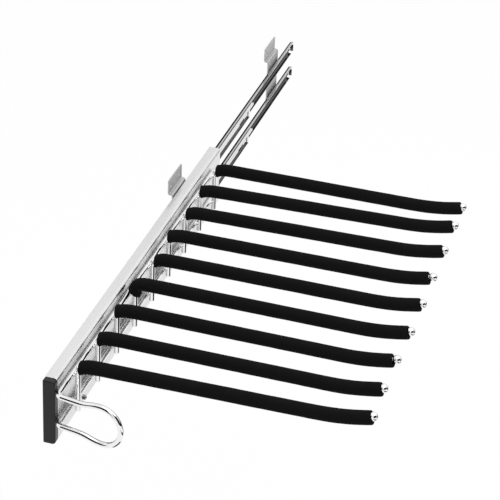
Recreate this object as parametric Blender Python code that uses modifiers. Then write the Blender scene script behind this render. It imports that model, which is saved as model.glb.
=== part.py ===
"""Extendable trouser hanger: a side-mounted rack whose nine sleeved arms pull out on two telescopic slides.

Frame: +X points from the wardrobe's side wall to the arms, +Y into the wardrobe and +Z up. The origin is the
middle of the front bracket's wall face. Sizes are in metres. The rack is drawn partly pulled out.
"""

from collections import namedtuple
from math import cos, pi, radians, sin, tan

import bmesh
import bpy
from mathutils import Quaternion, Vector

# Clearances
FIT_GAP = 0.0003
RUN_GAP = 0.0012

# How far the carrier is pulled out of its closed place
PULLED_OUT = 0.305
MIDDLE_SHARE = 0.5
OUTER_CAGE_SHARE = 0.25
INNER_CAGE_SHARE = 0.75

# Wall brackets
BRACKET_SHEET = 0.0015
BRACKET_BEND = 0.001
BRACKET_LENGTH = 0.041
BRACKET_PITCH = 0.352
BRACKET_REACH = 0.0060
WALL_FLANGE_HEIGHT = 0.017
WALL_HOLE = 0.0045
WALL_HOLE_PITCH = 0.027
PLATE_MARGIN = 0.0005

# Slides
SLIDE_DROP = 0.01595
SLIDE_PITCH = 0.0335
RAIL_SHEET = 0.0008
RAIL_HEIGHT = 0.0127
OUTER_DEPTH = 0.0054
OUTER_LENGTH = 0.4785
OUTER_LEAD = 0.0548
STOP_RELIEF = 0.008
MIDDLE_DEPTH = 0.0035
MIDDLE_LENGTH = 0.443
MIDDLE_SETBACK = 0.0055
INNER_LENGTH = 0.430
INNER_SETBACK = 0.020
INNER_WEB_HEIGHT = 0.0104
RUNNER_HEIGHT = 0.0070
RUNNER_DEPTH = 0.0028
BUMPER_LENGTH = 0.016
BUMPER_PROUD = 0.002
BUMPER_STEP = 0.0008
WINDOW_LENGTH = 0.018
WINDOW_HEIGHT = 0.0026
WINDOW_FROM_END = 0.038
WINDOW_DROP = 0.0016

# Ball cages
CAGE_SHEET = 0.0004
CAGE_LEG = 0.00055
CAGE_DEPTH = 0.0021
BALL = 0.0015
BALL_ROWS = 6
OUTER_CAGE_LENGTH = 0.180
OUTER_CAGE_INSET = 0.151
INNER_CAGE_LENGTH = 0.160
INNER_CAGE_INSET = 0.1375

# Rivets
RIVET_SHANK = 0.0022
RIVET_HEAD = 0.0036
RIVET_HEAD_HEIGHT = 0.0005
RIVET_INSET = 0.025
STUD_DEPTH = 0.0007

# Carrier
CARRIER_LENGTH = 0.480
CARRIER_WIDTH = 0.012
CARRIER_HEIGHT = 0.068
CARRIER_WALL = 0.0015
CARRIER_CORNER = 0.0035
CARRIER_LEAD = 0.020
CAP_DEPTH = 0.0065
CAP_EDGE = 0.0007
PLUG_DEPTH = 0.008
CARRIER_SCREW_Y = 0.071
CARRIER_SCREW_RISE = 0.006
SCREW_HEAD = 0.0048
SCREW_HEAD_HEIGHT = 0.0022
SCREW_CROWN = 0.0029
SCREW_SHANK = 0.003
SCREW_LENGTH = 0.006

# Wire frame and loop handle
WIRE = 0.0055
ROD_DROP = 0.0115
ROD_PITCH = 0.032
ROD_TAIL = 0.016
HANDLE_LEAD = 0.0025
HANDLE_LEAN = radians(10)
HANDLE_REACH = 0.0654
HANDLE_LOOP = 0.0392
HANDLE_FLARE_START = 0.020
FRONT_BEND = 0.006

# Arms
ARM_PITCH = 0.050
FIRST_ARM = 0.0335
ARM_REACH = 0.2715
ARM_RISE = 0.0004
POST_DROP = 0.0491
ARM_BEND = 0.008
TIP_RUN = 0.050
TIP_RISE = 0.0063
TIP_BALL = 0.0085
SLEEVE = 0.0132
SLEEVE_BORE_GAP = 0.0005
# The bent arms differ a little. Each has how much further it reaches than ARM_REACH, its tilt in degrees, how
# far its sleeve goes back round the bend, and how far the sleeve stops short of the ball's centre.
Arm = namedtuple("Arm", "further tilt sleeve_back sleeve_stop")
ARMS = (
    Arm(0.0005, 0.9, 0.0042, 0.0007),
    Arm(-0.0020, 0.1, 0.0042, 0.0013),
    Arm(-0.0015, -0.1, 0.0063, 0.0034),
    Arm(0.0000, -0.1, 0.0134, 0.0018),
    Arm(0.0000, 0.1, 0.0039, 0.0019),
    Arm(-0.0005, 0.3, 0.0059, 0.0038),
    Arm(0.0000, 0.9, 0.0042, 0.0014),
    Arm(0.0000, 1.2, 0.0045, 0.0020),
    Arm(-0.0015, 0.1, 0.0039, 0.0012),
)

# Facets
WIRE_RING_STEPS = 2
BEND_STEPS = 4
CORNER_STEPS = 4
LOOP_STEPS = 14
FLARE_STEPS = 4
TIP_STEPS = 5
TURNED_STEPS = 12
BALL_STEPS = 8
BALL_RING_STEPS = 6
TIP_BALL_STEPS = 14
TIP_BALL_RING_STEPS = 8
CAP_EDGE_STEPS = 2
SHARP_ANGLE = radians(35)
CAP_EDGE_ANGLE = radians(60)
WELD = 1e-6
EMPTY_SIZE = 0.02

# Heights
FLANGE_UNDERSIDE = -WALL_FLANGE_HEIGHT / 2
CARRIER_TOP = FLANGE_UNDERSIDE
CARRIER_BOTTOM = CARRIER_TOP - CARRIER_HEIGHT
UPPER_SLIDE_Z = CARRIER_TOP - SLIDE_DROP
LOWER_SLIDE_Z = UPPER_SLIDE_Z - SLIDE_PITCH
UPPER_ROD_Z = CARRIER_TOP - ROD_DROP
LOWER_ROD_Z = UPPER_ROD_Z - ROD_PITCH
ARM_Z = CARRIER_TOP + ARM_RISE
POST_BOTTOM = CARRIER_TOP - POST_DROP

# Distances from the wall
CARRIER_LEFT = BRACKET_REACH + RUN_GAP
CARRIER_RIGHT = CARRIER_LEFT + CARRIER_WIDTH
CARRIER_WEB = CARRIER_RIGHT - CARRIER_WALL
OUTER_X = BRACKET_REACH + FIT_GAP
OUTER_MOUTH = OUTER_X + OUTER_DEPTH
MIDDLE_X = OUTER_MOUTH + FIT_GAP
MIDDLE_MOUTH = MIDDLE_X + MIDDLE_DEPTH
INNER_BACK = CARRIER_WEB - FIT_GAP
INNER_FACE = INNER_BACK - RAIL_SHEET
ROD_X = CARRIER_RIGHT + FIT_GAP + WIRE / 2
POST_X = ROD_X + WIRE + FIT_GAP

# Places along the slides
OUTER_FRONT = -OUTER_LEAD
OUTER_REAR = OUTER_FRONT + OUTER_LENGTH
CARRIER_FRONT = OUTER_FRONT - CARRIER_LEAD - PULLED_OUT
CARRIER_REAR = CARRIER_FRONT + CARRIER_LENGTH
PROFILE_FRONT = CARRIER_FRONT + CAP_DEPTH + FIT_GAP
MIDDLE_FRONT = OUTER_FRONT + MIDDLE_SETBACK - PULLED_OUT * MIDDLE_SHARE
MIDDLE_REAR = MIDDLE_FRONT + MIDDLE_LENGTH
INNER_FRONT = CARRIER_FRONT + INNER_SETBACK
INNER_REAR = INNER_FRONT + INNER_LENGTH
OUTER_CAGE_FRONT = OUTER_FRONT + OUTER_CAGE_INSET - PULLED_OUT * OUTER_CAGE_SHARE
INNER_CAGE_FRONT = INNER_FRONT + PULLED_OUT + INNER_CAGE_INSET - PULLED_OUT * INNER_CAGE_SHARE
LAST_ARM_Y = CARRIER_FRONT + FIRST_ARM + ARM_PITCH * (len(ARMS) - 1)
ROD_REAR = LAST_ARM_Y + ROD_TAIL
ROD_FRONT = CARRIER_FRONT - HANDLE_LEAD

# Helpers reach this far past the material that they cut
CUT_PAST = 0.002

SLIDES = {"upper": UPPER_SLIDE_Z, "lower": LOWER_SLIDE_Z}
BRACKETS = {"front": 0.0, "rear": BRACKET_PITCH}


def clear_scene():
    for obj in list(bpy.data.objects):
        bpy.data.objects.remove(obj, do_unlink=True)


def collection(name):
    made = bpy.data.collections.new(name)
    bpy.context.scene.collection.children.link(made)
    return made


def finish(name, colour, roughness, metallic):
    material = bpy.data.materials.new(name)
    material.use_nodes = True
    shader = material.node_tree.nodes["Principled BSDF"]
    shader.inputs["Base Color"].default_value = (*colour, 1)
    shader.inputs["Roughness"].default_value = roughness
    shader.inputs["Metallic"].default_value = metallic
    return material


def joint_empty(name, place):
    empty = bpy.data.objects.new(name, None)
    empty.location = place
    empty.empty_display_size = EMPTY_SIZE
    PARTS.objects.link(empty)
    bpy.context.view_layer.update()
    return empty


def add_part(name, data, material, parent, place=(0, 0, 0), turn=(0, 0, 0)):
    obj = bpy.data.objects.new(name, data)
    obj.data.materials.clear()
    obj.data.materials.append(material)
    PARTS.objects.link(obj)
    obj.location = place
    obj.rotation_euler = turn
    obj.parent = parent
    obj.matrix_parent_inverse = parent.matrix_world.inverted()
    return obj


def add_helper(name, data, place=(0, 0, 0), turn=(0, 0, 0)):
    obj = bpy.data.objects.new(name, data)
    CUTTERS.objects.link(obj)
    obj.location = place
    obj.rotation_euler = turn
    obj.hide_render = True
    obj.display_type = "WIRE"
    return obj


def boolean(obj, other, operation):
    modifier = obj.modifiers.new(operation.lower(), "BOOLEAN")
    modifier.operation = operation
    modifier.object = other


def smooth(mesh):
    mesh.shade_smooth()
    mesh.set_sharp_from_angle(angle=SHARP_ANGLE)


def box_mesh(name, low, high):
    """A box between two corners."""
    low, high = Vector(low), Vector(high)
    bm = bmesh.new()
    bmesh.ops.create_cube(bm, size=1)
    bmesh.ops.scale(bm, vec=high - low, verts=bm.verts)
    bmesh.ops.translate(bm, vec=(low + high) / 2, verts=bm.verts)
    mesh = bpy.data.meshes.new(name)
    bm.to_mesh(mesh)
    bm.free()
    return mesh


def cylinder_mesh(name, diameter, length, steps=TURNED_STEPS):
    """A cylinder along Z, centred on the origin."""
    bm = bmesh.new()
    bmesh.ops.create_cone(
        bm, cap_ends=True, segments=steps, radius1=diameter / 2, radius2=diameter / 2, depth=length
    )
    mesh = bpy.data.meshes.new(name)
    bm.to_mesh(mesh)
    bm.free()
    return mesh


def filleted(corners, steps, closed=False):
    """Points of a path whose corners, given as (point, radius), are rounded by arcs."""
    places = [Vector(point) for point, _ in corners]
    path = []
    for i, (_, radius) in enumerate(corners):
        here = places[i]
        if radius == 0 or (not closed and i in (0, len(corners) - 1)):
            path.append(here)
            continue
        back = (places[i - 1] - here).normalized()
        ahead = (places[(i + 1) % len(places)] - here).normalized()
        turn = pi - back.angle(ahead)
        start = here + back * radius * tan(turn / 2)
        centre = here + (back + ahead).normalized() * radius / cos(turn / 2)
        axis = ahead.cross(back)
        for step in range(steps + 1):
            spoke = Quaternion(axis, turn * step / steps) @ (start - centre)
            path.append(centre + spoke)
    return path


def section_mesh(name, corners, y_front, y_rear, steps=CORNER_STEPS):
    """A section in X and Z, with (x, z, radius) corners, drawn out along Y."""
    outline = filleted([((x, z, 0), radius) for x, z, radius in corners], steps, closed=True)
    curve = bpy.data.curves.new(name, "CURVE")
    curve.dimensions = "2D"
    curve.fill_mode = "BOTH"
    curve.extrude = (y_rear - y_front) / 2
    spline = curve.splines.new("POLY")
    spline.points.add(len(outline) - 1)
    for point, place in zip(spline.points, outline):
        point.co = (place.x, place.y, 0, 1)
    spline.use_cyclic_u = True
    mesh = mesh_of_curve(name, curve)
    bm = bmesh.new()
    bm.from_mesh(mesh)
    for vert in bm.verts:
        x, z, depth = vert.co
        vert.co = (x, (y_front + y_rear) / 2 - depth, z)
    bm.to_mesh(mesh)
    bm.free()
    return mesh


def mesh_of_curve(name, curve):
    """The welded mesh of a curve; the curve itself is removed."""
    guide = bpy.data.objects.new(name + "_curve", curve)
    CUTTERS.objects.link(guide)
    guide.hide_render = True
    bpy.context.view_layer.update()
    graph = bpy.context.evaluated_depsgraph_get()
    mesh = bpy.data.meshes.new_from_object(guide.evaluated_get(graph))
    mesh.name = name
    bpy.data.objects.remove(guide, do_unlink=True)
    bpy.data.curves.remove(curve)
    bm = bmesh.new()
    bm.from_mesh(mesh)
    bmesh.ops.remove_doubles(bm, verts=bm.verts, dist=WELD)
    bmesh.ops.recalc_face_normals(bm, faces=bm.faces)
    bm.to_mesh(mesh)
    bm.free()
    return mesh


def wire_curve(name, path, diameter, caps=True):
    """A round wire along a path."""
    curve = bpy.data.curves.new(name, "CURVE")
    curve.dimensions = "3D"
    curve.bevel_depth = diameter / 2
    curve.bevel_resolution = WIRE_RING_STEPS
    curve.use_fill_caps = caps
    spline = curve.splines.new("POLY")
    spline.points.add(len(path) - 1)
    for point, place in zip(spline.points, path):
        point.co = (*place, 1)
    spline.use_smooth = True
    return curve


def turned_part(name, profile, material, parent, place, turn):
    """A turned piece: (radius, height) points from the top down its outer side, round Z."""
    mesh = bpy.data.meshes.new(name)
    points = [(radius, 0, height) for radius, height in profile]
    mesh.from_pydata(points, [(i, i + 1) for i in range(len(points) - 1)], [])
    obj = add_part(name, mesh, material, parent, place, turn)
    spin = obj.modifiers.new("turn", "SCREW")
    spin.axis = "Z"
    spin.angle = 2 * pi
    spin.steps = TURNED_STEPS
    spin.render_steps = TURNED_STEPS
    spin.use_merge_vertices = True
    spin.merge_threshold = WELD
    spin.use_smooth_shade = False
    return obj


ALONG_X = (0, pi / 2, 0)


def drill(obj, name, diameter, length, place):
    """A round hole along X."""
    cutter = add_helper(name, cylinder_mesh(name, diameter, length), place, ALONG_X)
    boolean(obj, cutter, "DIFFERENCE")


def make_bracket(name, middle_y):
    """Z-shaped sheet: wall flange, short shelf, and the plate that carries both outer rails."""
    inside = BRACKET_BEND
    outside = BRACKET_BEND + BRACKET_SHEET
    shelf = FLANGE_UNDERSIDE + BRACKET_SHEET
    plate_left = BRACKET_REACH - BRACKET_SHEET
    plate_bottom = LOWER_SLIDE_Z - RAIL_HEIGHT / 2 - PLATE_MARGIN
    corners = [
        (0, WALL_FLANGE_HEIGHT / 2, 0),
        (0, FLANGE_UNDERSIDE, outside),
        (plate_left, FLANGE_UNDERSIDE, inside),
        (plate_left, plate_bottom, 0),
        (BRACKET_REACH, plate_bottom, 0),
        (BRACKET_REACH, shelf, outside),
        (BRACKET_SHEET, shelf, inside),
        (BRACKET_SHEET, WALL_FLANGE_HEIGHT / 2, 0),
    ]
    mesh = section_mesh(name, corners, middle_y - BRACKET_LENGTH / 2, middle_y + BRACKET_LENGTH / 2)
    obj = add_part(name, mesh, ZINC_STEEL, WALL_SIDE)
    for side in (-1, 1):
        place = (BRACKET_SHEET / 2, middle_y + side * WALL_HOLE_PITCH / 2, 0)
        drill(obj, f"{name}_wall_hole", WALL_HOLE, BRACKET_SHEET + 2 * CUT_PAST, place)
    for z in SLIDES.values():
        place = (BRACKET_REACH - BRACKET_SHEET / 2, middle_y, z)
        drill(obj, f"{name}_rivet_hole", RIVET_SHANK + 2 * FIT_GAP, BRACKET_SHEET + 2 * CUT_PAST, place)
    return obj


def make_outer_rail(name, z):
    """Open channel with a stop tab across its rear end, behind a gap in its lower flange."""
    half = RAIL_HEIGHT / 2
    inside = OUTER_X + RAIL_SHEET
    obj = add_part(
        name,
        box_mesh(name, (OUTER_X, OUTER_FRONT, z - half), (OUTER_MOUTH, OUTER_REAR, z + half)),
        SLIDE_STEEL,
        WALL_SIDE,
    )
    tab_front = OUTER_REAR - RAIL_SHEET
    channel = box_mesh(
        f"{name}_channel",
        (inside, OUTER_FRONT - CUT_PAST, z - half + RAIL_SHEET),
        (OUTER_MOUTH + CUT_PAST, tab_front, z + half - RAIL_SHEET),
    )
    relief = box_mesh(
        f"{name}_relief",
        (inside, tab_front - STOP_RELIEF, z - half - CUT_PAST),
        (OUTER_MOUTH + CUT_PAST, tab_front, z),
    )
    boolean(obj, add_helper(f"{name}_channel", channel), "DIFFERENCE")
    boolean(obj, add_helper(f"{name}_relief", relief), "DIFFERENCE")
    for y in BRACKETS.values():
        place = (OUTER_X + RAIL_SHEET / 2, y, z)
        drill(obj, f"{name}_rivet_hole", RIVET_SHANK + 2 * FIT_GAP, RAIL_SHEET + 2 * CUT_PAST, place)
    return obj


def make_bracket_rivet(name, y, z):
    """Rivet through a bracket plate and the web of an outer rail, with a flat head on each side."""
    head_top = OUTER_X + RAIL_SHEET + FIT_GAP + RIVET_HEAD_HEIGHT
    tail_bottom = BRACKET_REACH - BRACKET_SHEET - FIT_GAP - RIVET_HEAD_HEIGHT
    profile = [
        (0, head_top),
        (RIVET_HEAD / 2, head_top),
        (RIVET_HEAD / 2, head_top - RIVET_HEAD_HEIGHT),
        (RIVET_SHANK / 2, head_top - RIVET_HEAD_HEIGHT),
        (RIVET_SHANK / 2, tail_bottom + RIVET_HEAD_HEIGHT),
        (RIVET_HEAD / 2, tail_bottom + RIVET_HEAD_HEIGHT),
        (RIVET_HEAD / 2, tail_bottom),
        (0, tail_bottom),
    ]
    return turned_part(name, profile, SLIDE_STEEL, WALL_SIDE, (0, y, z), ALONG_X)


def make_middle_member(name, z):
    """Two runners that ride in the outer rail, back to back with a channel for the inner rail."""
    half = RAIL_HEIGHT / 2
    runner = RUNNER_HEIGHT / 2
    runner_tip = MIDDLE_X - RUNNER_DEPTH
    web_right = MIDDLE_X + RAIL_SHEET
    upper = [
        (web_right, z + half - RAIL_SHEET),
        (MIDDLE_MOUTH, z + half - RAIL_SHEET),
        (MIDDLE_MOUTH, z + half),
        (MIDDLE_X, z + half),
        (MIDDLE_X, z + runner),
        (runner_tip, z + runner),
        (runner_tip, z + runner - RAIL_SHEET),
        (MIDDLE_X, z + runner - RAIL_SHEET),
    ]
    lower = [(x, 2 * z - height) for x, height in reversed(upper)]
    corners = [(x, height, 0) for x, height in upper + lower]
    mesh = section_mesh(name, corners, MIDDLE_FRONT, MIDDLE_REAR)
    obj = add_part(name, mesh, SLIDE_STEEL, MIDDLE_SLIDE)
    window_rear = MIDDLE_REAR - WINDOW_FROM_END + WINDOW_LENGTH / 2
    window_top = z - WINDOW_DROP + WINDOW_HEIGHT / 2
    window = box_mesh(
        f"{name}_window",
        (MIDDLE_X - RAIL_SHEET, window_rear - WINDOW_LENGTH, window_top - WINDOW_HEIGHT),
        (web_right + RAIL_SHEET, window_rear, window_top),
    )
    boolean(obj, add_helper(f"{name}_window", window), "DIFFERENCE")
    return obj


def make_bumper(name, z):
    """Pale plastic stop in the rear end of a middle member's channel."""
    body_half = RAIL_HEIGHT / 2 - RAIL_SHEET - FIT_GAP
    body_left = MIDDLE_X + RAIL_SHEET + FIT_GAP
    body = box_mesh(
        name,
        (body_left, MIDDLE_REAR + BUMPER_PROUD - BUMPER_LENGTH, z - body_half),
        (MIDDLE_MOUTH + BUMPER_STEP, MIDDLE_REAR + BUMPER_PROUD, z + body_half),
    )
    obj = add_part(name, body, PALE_PLASTIC, MIDDLE_SLIDE)
    edge = obj.modifiers.new("edge", "BEVEL")
    edge.width = BUMPER_STEP / 2
    edge.segments = 1
    return obj


def make_cage(name, x, y_front, length, z, parent):
    """Bent strip that holds two rows of balls above and below a runner."""
    runner = RUNNER_HEIGHT / 2
    race = RAIL_HEIGHT / 2 - RAIL_SHEET
    ball_z = (runner + race) / 2
    leg_out = ball_z + CAGE_LEG / 2
    leg_in = ball_z - CAGE_LEG / 2
    tip = x + CAGE_DEPTH
    upper = [
        (x + CAGE_SHEET, z + leg_in),
        (tip, z + leg_in),
        (tip, z + leg_out),
        (x, z + leg_out),
    ]
    lower = [(place, 2 * z - height) for place, height in reversed(upper)]
    corners = [(place, height, 0) for place, height in upper + lower]
    obj = add_part(name, section_mesh(name, corners, y_front, y_front + length), SLIDE_STEEL, parent)
    bm = bmesh.new()
    for row in range(BALL_ROWS):
        y = y_front + length * (row + 0.5) / BALL_ROWS
        for side in (-1, 1):
            grown = bmesh.ops.create_uvsphere(
                bm, u_segments=BALL_STEPS, v_segments=BALL_RING_STEPS, radius=BALL / 2
            )
            place = (x + CAGE_SHEET + (CAGE_DEPTH - CAGE_SHEET) / 2, y, z + side * ball_z)
            bmesh.ops.translate(bm, vec=place, verts=grown["verts"])
    balls = bpy.data.meshes.new(f"{name}_balls")
    bm.to_mesh(balls)
    bm.free()
    boolean(obj, add_helper(f"{name}_balls", balls), "UNION")
    return obj


def make_inner_rail(name, z):
    """Two runners on a web that is fixed to the inside of the carrier."""
    web = INNER_WEB_HEIGHT / 2
    runner = RUNNER_HEIGHT / 2
    tip = INNER_FACE - RUNNER_DEPTH
    upper = [
        (INNER_BACK, z + web),
        (INNER_FACE, z + web),
        (INNER_FACE, z + runner),
        (tip, z + runner),
        (tip, z + runner - RAIL_SHEET),
        (INNER_FACE, z + runner - RAIL_SHEET),
    ]
    lower = [(x, 2 * z - height) for x, height in reversed(upper)]
    corners = [(x, height, 0) for x, height in upper + lower]
    obj = add_part(name, section_mesh(name, corners, INNER_FRONT, INNER_REAR), SLIDE_STEEL, CARRIER_SLIDE)
    for y in inner_rivet_places():
        place = ((INNER_FACE + INNER_BACK) / 2, y, z)
        drill(obj, f"{name}_rivet_hole", RIVET_SHANK + 2 * FIT_GAP, RAIL_SHEET + 2 * CUT_PAST, place)
    return obj


def inner_rivet_places():
    return (INNER_FRONT + RIVET_INSET, INNER_REAR - RIVET_INSET)


def make_inner_rivet(name, y, z):
    """Rivet with its head inside the inner rail and its shank in a blind hole of the carrier's web."""
    head_left = INNER_FACE - FIT_GAP - RIVET_HEAD_HEIGHT
    tail = CARRIER_WEB + STUD_DEPTH
    profile = [
        (0, tail),
        (RIVET_SHANK / 2, tail),
        (RIVET_SHANK / 2, head_left + RIVET_HEAD_HEIGHT),
        (RIVET_HEAD / 2, head_left + RIVET_HEAD_HEIGHT),
        (RIVET_HEAD / 2, head_left),
        (0, head_left),
    ]
    return turned_part(name, profile, SLIDE_STEEL, CARRIER_SLIDE, (0, y, z), ALONG_X)


def make_carrier_profile():
    """Tall channel, open towards the wall, whose arm-side corners are rounded."""
    inner_corner = CARRIER_CORNER - CARRIER_WALL
    corners = [
        (CARRIER_LEFT, CARRIER_TOP, 0),
        (CARRIER_LEFT, CARRIER_TOP - CARRIER_WALL, 0),
        (CARRIER_WEB, CARRIER_TOP - CARRIER_WALL, inner_corner),
        (CARRIER_WEB, CARRIER_BOTTOM + CARRIER_WALL, inner_corner),
        (CARRIER_LEFT, CARRIER_BOTTOM + CARRIER_WALL, 0),
        (CARRIER_LEFT, CARRIER_BOTTOM, 0),
        (CARRIER_RIGHT, CARRIER_BOTTOM, CARRIER_CORNER),
        (CARRIER_RIGHT, CARRIER_TOP, CARRIER_CORNER),
    ]
    mesh = section_mesh("carrier_profile", corners, PROFILE_FRONT, CARRIER_REAR)
    obj = add_part("carrier_profile", mesh, POLISHED_METAL, CARRIER_SLIDE)
    blind = 2 * (STUD_DEPTH + FIT_GAP)
    for z in SLIDES.values():
        for y in inner_rivet_places():
            drill(obj, "carrier_rivet_hole", RIVET_SHANK + 2 * FIT_GAP, blind, (CARRIER_WEB, y, z))
    wall_middle = (CARRIER_WEB + CARRIER_RIGHT) / 2
    screw = (wall_middle, CARRIER_FRONT + CARRIER_SCREW_Y, CARRIER_BOTTOM + CARRIER_SCREW_RISE)
    drill(obj, "carrier_screw_hole", SCREW_SHANK + 2 * FIT_GAP, CARRIER_WALL + 2 * CUT_PAST, screw)
    return obj


def make_front_cap():
    """Plastic cap with the carrier's outline, and a plug that sits inside the carrier."""
    corners = [
        (CARRIER_LEFT, CARRIER_TOP, CAP_EDGE),
        (CARRIER_LEFT, CARRIER_BOTTOM, CAP_EDGE),
        (CARRIER_RIGHT, CARRIER_BOTTOM, CARRIER_CORNER),
        (CARRIER_RIGHT, CARRIER_TOP, CARRIER_CORNER),
    ]
    cap_rear = CARRIER_FRONT + CAP_DEPTH
    obj = add_part(
        "front_cap", section_mesh("front_cap", corners, CARRIER_FRONT, cap_rear), BLACK_PLASTIC, CARRIER_SLIDE
    )
    edge = obj.modifiers.new("edge", "BEVEL")
    edge.width = CAP_EDGE
    edge.segments = CAP_EDGE_STEPS
    edge.limit_method = "ANGLE"
    edge.angle_limit = CAP_EDGE_ANGLE
    inset = CARRIER_WALL + FIT_GAP
    corner_clear = CARRIER_CORNER - CARRIER_WALL
    plug = box_mesh(
        "front_cap_plug",
        (CARRIER_LEFT + inset, cap_rear - CAP_DEPTH / 2, CARRIER_BOTTOM + inset + corner_clear),
        (CARRIER_WEB - FIT_GAP, cap_rear + PLUG_DEPTH, CARRIER_TOP - inset - corner_clear),
    )
    boolean(obj, add_helper("front_cap_plug", plug), "UNION")
    return obj


def make_carrier_screw():
    """Pan-head screw in the carrier's web, near the front and the bottom edge."""
    seat = CARRIER_RIGHT + FIT_GAP
    crown = seat + SCREW_HEAD_HEIGHT
    profile = [
        (0, crown),
        (SCREW_CROWN / 2, crown),
        (SCREW_HEAD / 2, crown - SCREW_HEAD_HEIGHT / 2),
        (SCREW_HEAD / 2, seat),
        (SCREW_SHANK / 2, seat),
        (SCREW_SHANK / 2, seat - SCREW_LENGTH),
        (0, seat - SCREW_LENGTH),
    ]
    place = (0, CARRIER_FRONT + CARRIER_SCREW_Y, CARRIER_BOTTOM + CARRIER_SCREW_RISE)
    return turned_part("carrier_screw", profile, SLIDE_STEEL, CARRIER_SLIDE, place, ALONG_X)


def handle_path():
    """Centre line of the wire: upper rod, loop handle, lower rod."""
    middle = (UPPER_ROD_Z + LOWER_ROD_Z) / 2
    loop = HANDLE_LOOP / 2
    leg = ROD_PITCH / 2
    flare_end = HANDLE_REACH - loop
    outward = Vector((cos(HANDLE_LEAN), -sin(HANDLE_LEAN), 0))
    corner = Vector((ROD_X, ROD_FRONT, middle))
    upper_start = Vector((ROD_X, ROD_REAR, UPPER_ROD_Z))
    upper_corner = Vector((ROD_X, ROD_FRONT, UPPER_ROD_Z))
    flare_start = corner + outward * HANDLE_FLARE_START + Vector((0, 0, leg))
    upper = filleted([(upper_start, 0), (upper_corner, FRONT_BEND), (flare_start, 0)], BEND_STEPS)
    for step in range(1, FLARE_STEPS + 1):
        share = step / FLARE_STEPS
        ease = (1 - cos(pi * share)) / 2
        reach = HANDLE_FLARE_START + (flare_end - HANDLE_FLARE_START) * share
        upper.append(corner + outward * reach + Vector((0, 0, leg + (loop - leg) * ease)))
    for step in range(1, LOOP_STEPS // 2 + 1):
        angle = pi / 2 - pi * step / LOOP_STEPS
        upper.append(corner + outward * (flare_end + loop * cos(angle)) + Vector((0, 0, loop * sin(angle))))
    lower = [Vector((p.x, p.y, 2 * middle - p.z)) for p in reversed(upper[:-1])]
    return upper + lower


def make_wire_frame():
    """One wire: two rods along the carrier, joined at the front by the loop handle."""
    curve = wire_curve("wire_frame", handle_path(), WIRE)
    return add_part("wire_frame", curve, CHROME, CARRIER_SLIDE)


def tip_radius():
    return (TIP_RUN**2 + TIP_RISE**2) / (2 * TIP_RISE)


def tip_turn():
    """Whole angle of the upturned end, in radians."""
    return 2 * Vector((TIP_RUN, TIP_RISE)).angle(Vector((1, 0)))


def tip_share(distance):
    """Share of the upturned end's arc that a distance along it takes."""
    return distance / (tip_radius() * tip_turn())


def tilted(arm, point):
    """A point of a level arm, moved to the arm's tilt about the end of its bend."""
    pivot = Vector((POST_X + ARM_BEND, 0, ARM_Z))
    turn = Quaternion((0, 1, 0), -radians(arm.tilt))
    return pivot + turn @ (point - pivot)


def tip_place(arm, share):
    """Place at a share of an arm's upturned end."""
    start_x = POST_X + ARM_REACH + arm.further - TIP_RUN
    angle = tip_turn() * share
    radius = tip_radius()
    level = Vector((start_x + radius * sin(angle), 0, ARM_Z + radius * (1 - cos(angle))))
    return tilted(arm, level)


def arm_line(arm, back, end_share):
    """Centre line of an arm from a distance back round its bend to a share of its upturned end."""
    bend_x = POST_X + ARM_BEND
    turn = min(back / ARM_BEND, pi / 2)
    down_post = back - ARM_BEND * pi / 2
    line = []
    if down_post > WELD:
        line.append(Vector((POST_X, 0, ARM_Z - ARM_BEND - down_post)))
    steps = max(1, round(BEND_STEPS * turn / (pi / 2)))
    for step in range(steps):
        angle = turn * (1 - step / steps)
        line.append(Vector((bend_x - ARM_BEND * sin(angle), 0, ARM_Z - ARM_BEND * (1 - cos(angle)))))
    line.append(Vector((bend_x, 0, ARM_Z)))
    for step in range(TIP_STEPS + 1):
        line.append(tip_place(arm, end_share * step / TIP_STEPS))
    return line


def make_arm_wire(number, arm, y):
    """Post, bend, arm and upturned end in one wire."""
    bend_and_post = ARM_BEND * pi / 2 + ARM_Z - ARM_BEND - POST_BOTTOM
    line = arm_line(arm, bend_and_post, 1 - tip_share(FIT_GAP))
    curve = wire_curve(f"arm_wire_{number}", line, WIRE)
    return add_part(f"arm_wire_{number}", curve, CHROME, CARRIER_SLIDE, (0, y, 0))


def make_sleeve(number, arm, y):
    """Foam tube over the arm, from part of the bend to the ball, whose back it can cover."""
    name = f"foam_sleeve_{number}"
    line = arm_line(arm, arm.sleeve_back, 1 - tip_share(arm.sleeve_stop))
    mesh = mesh_of_curve(name, wire_curve(name, line, SLEEVE, caps=False))
    smooth(mesh)
    obj = add_part(name, mesh, BLACK_FOAM, CARRIER_SLIDE, (0, y, 0))
    bore = WIRE / 2 + SLEEVE_BORE_GAP
    wall = obj.modifiers.new("wall", "SOLIDIFY")
    wall.thickness = SLEEVE / 2 - bore
    wall.offset = -1
    wall.use_even_offset = False
    pocket = TIP_BALL + 2 * FIT_GAP
    if Vector((arm.sleeve_stop, bore)).length < pocket / 2:
        place = tip_place(arm, 1) + Vector((0, y, 0))
        ball = sphere_mesh(f"{name}_pocket", pocket)
        boolean(obj, add_helper(f"{name}_pocket", ball, place, tip_lean(arm)), "DIFFERENCE")
    return obj


def sphere_mesh(name, diameter):
    bm = bmesh.new()
    bmesh.ops.create_uvsphere(
        bm, u_segments=TIP_BALL_STEPS, v_segments=TIP_BALL_RING_STEPS, radius=diameter / 2
    )
    mesh = bpy.data.meshes.new(name)
    bm.to_mesh(mesh)
    bm.free()
    return mesh


def tip_slope(arm):
    return tip_turn() + radians(arm.tilt)


def tip_lean(arm):
    """Rotation that puts local Z along the arm's end."""
    return (0, pi / 2 - tip_slope(arm), 0)


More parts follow.
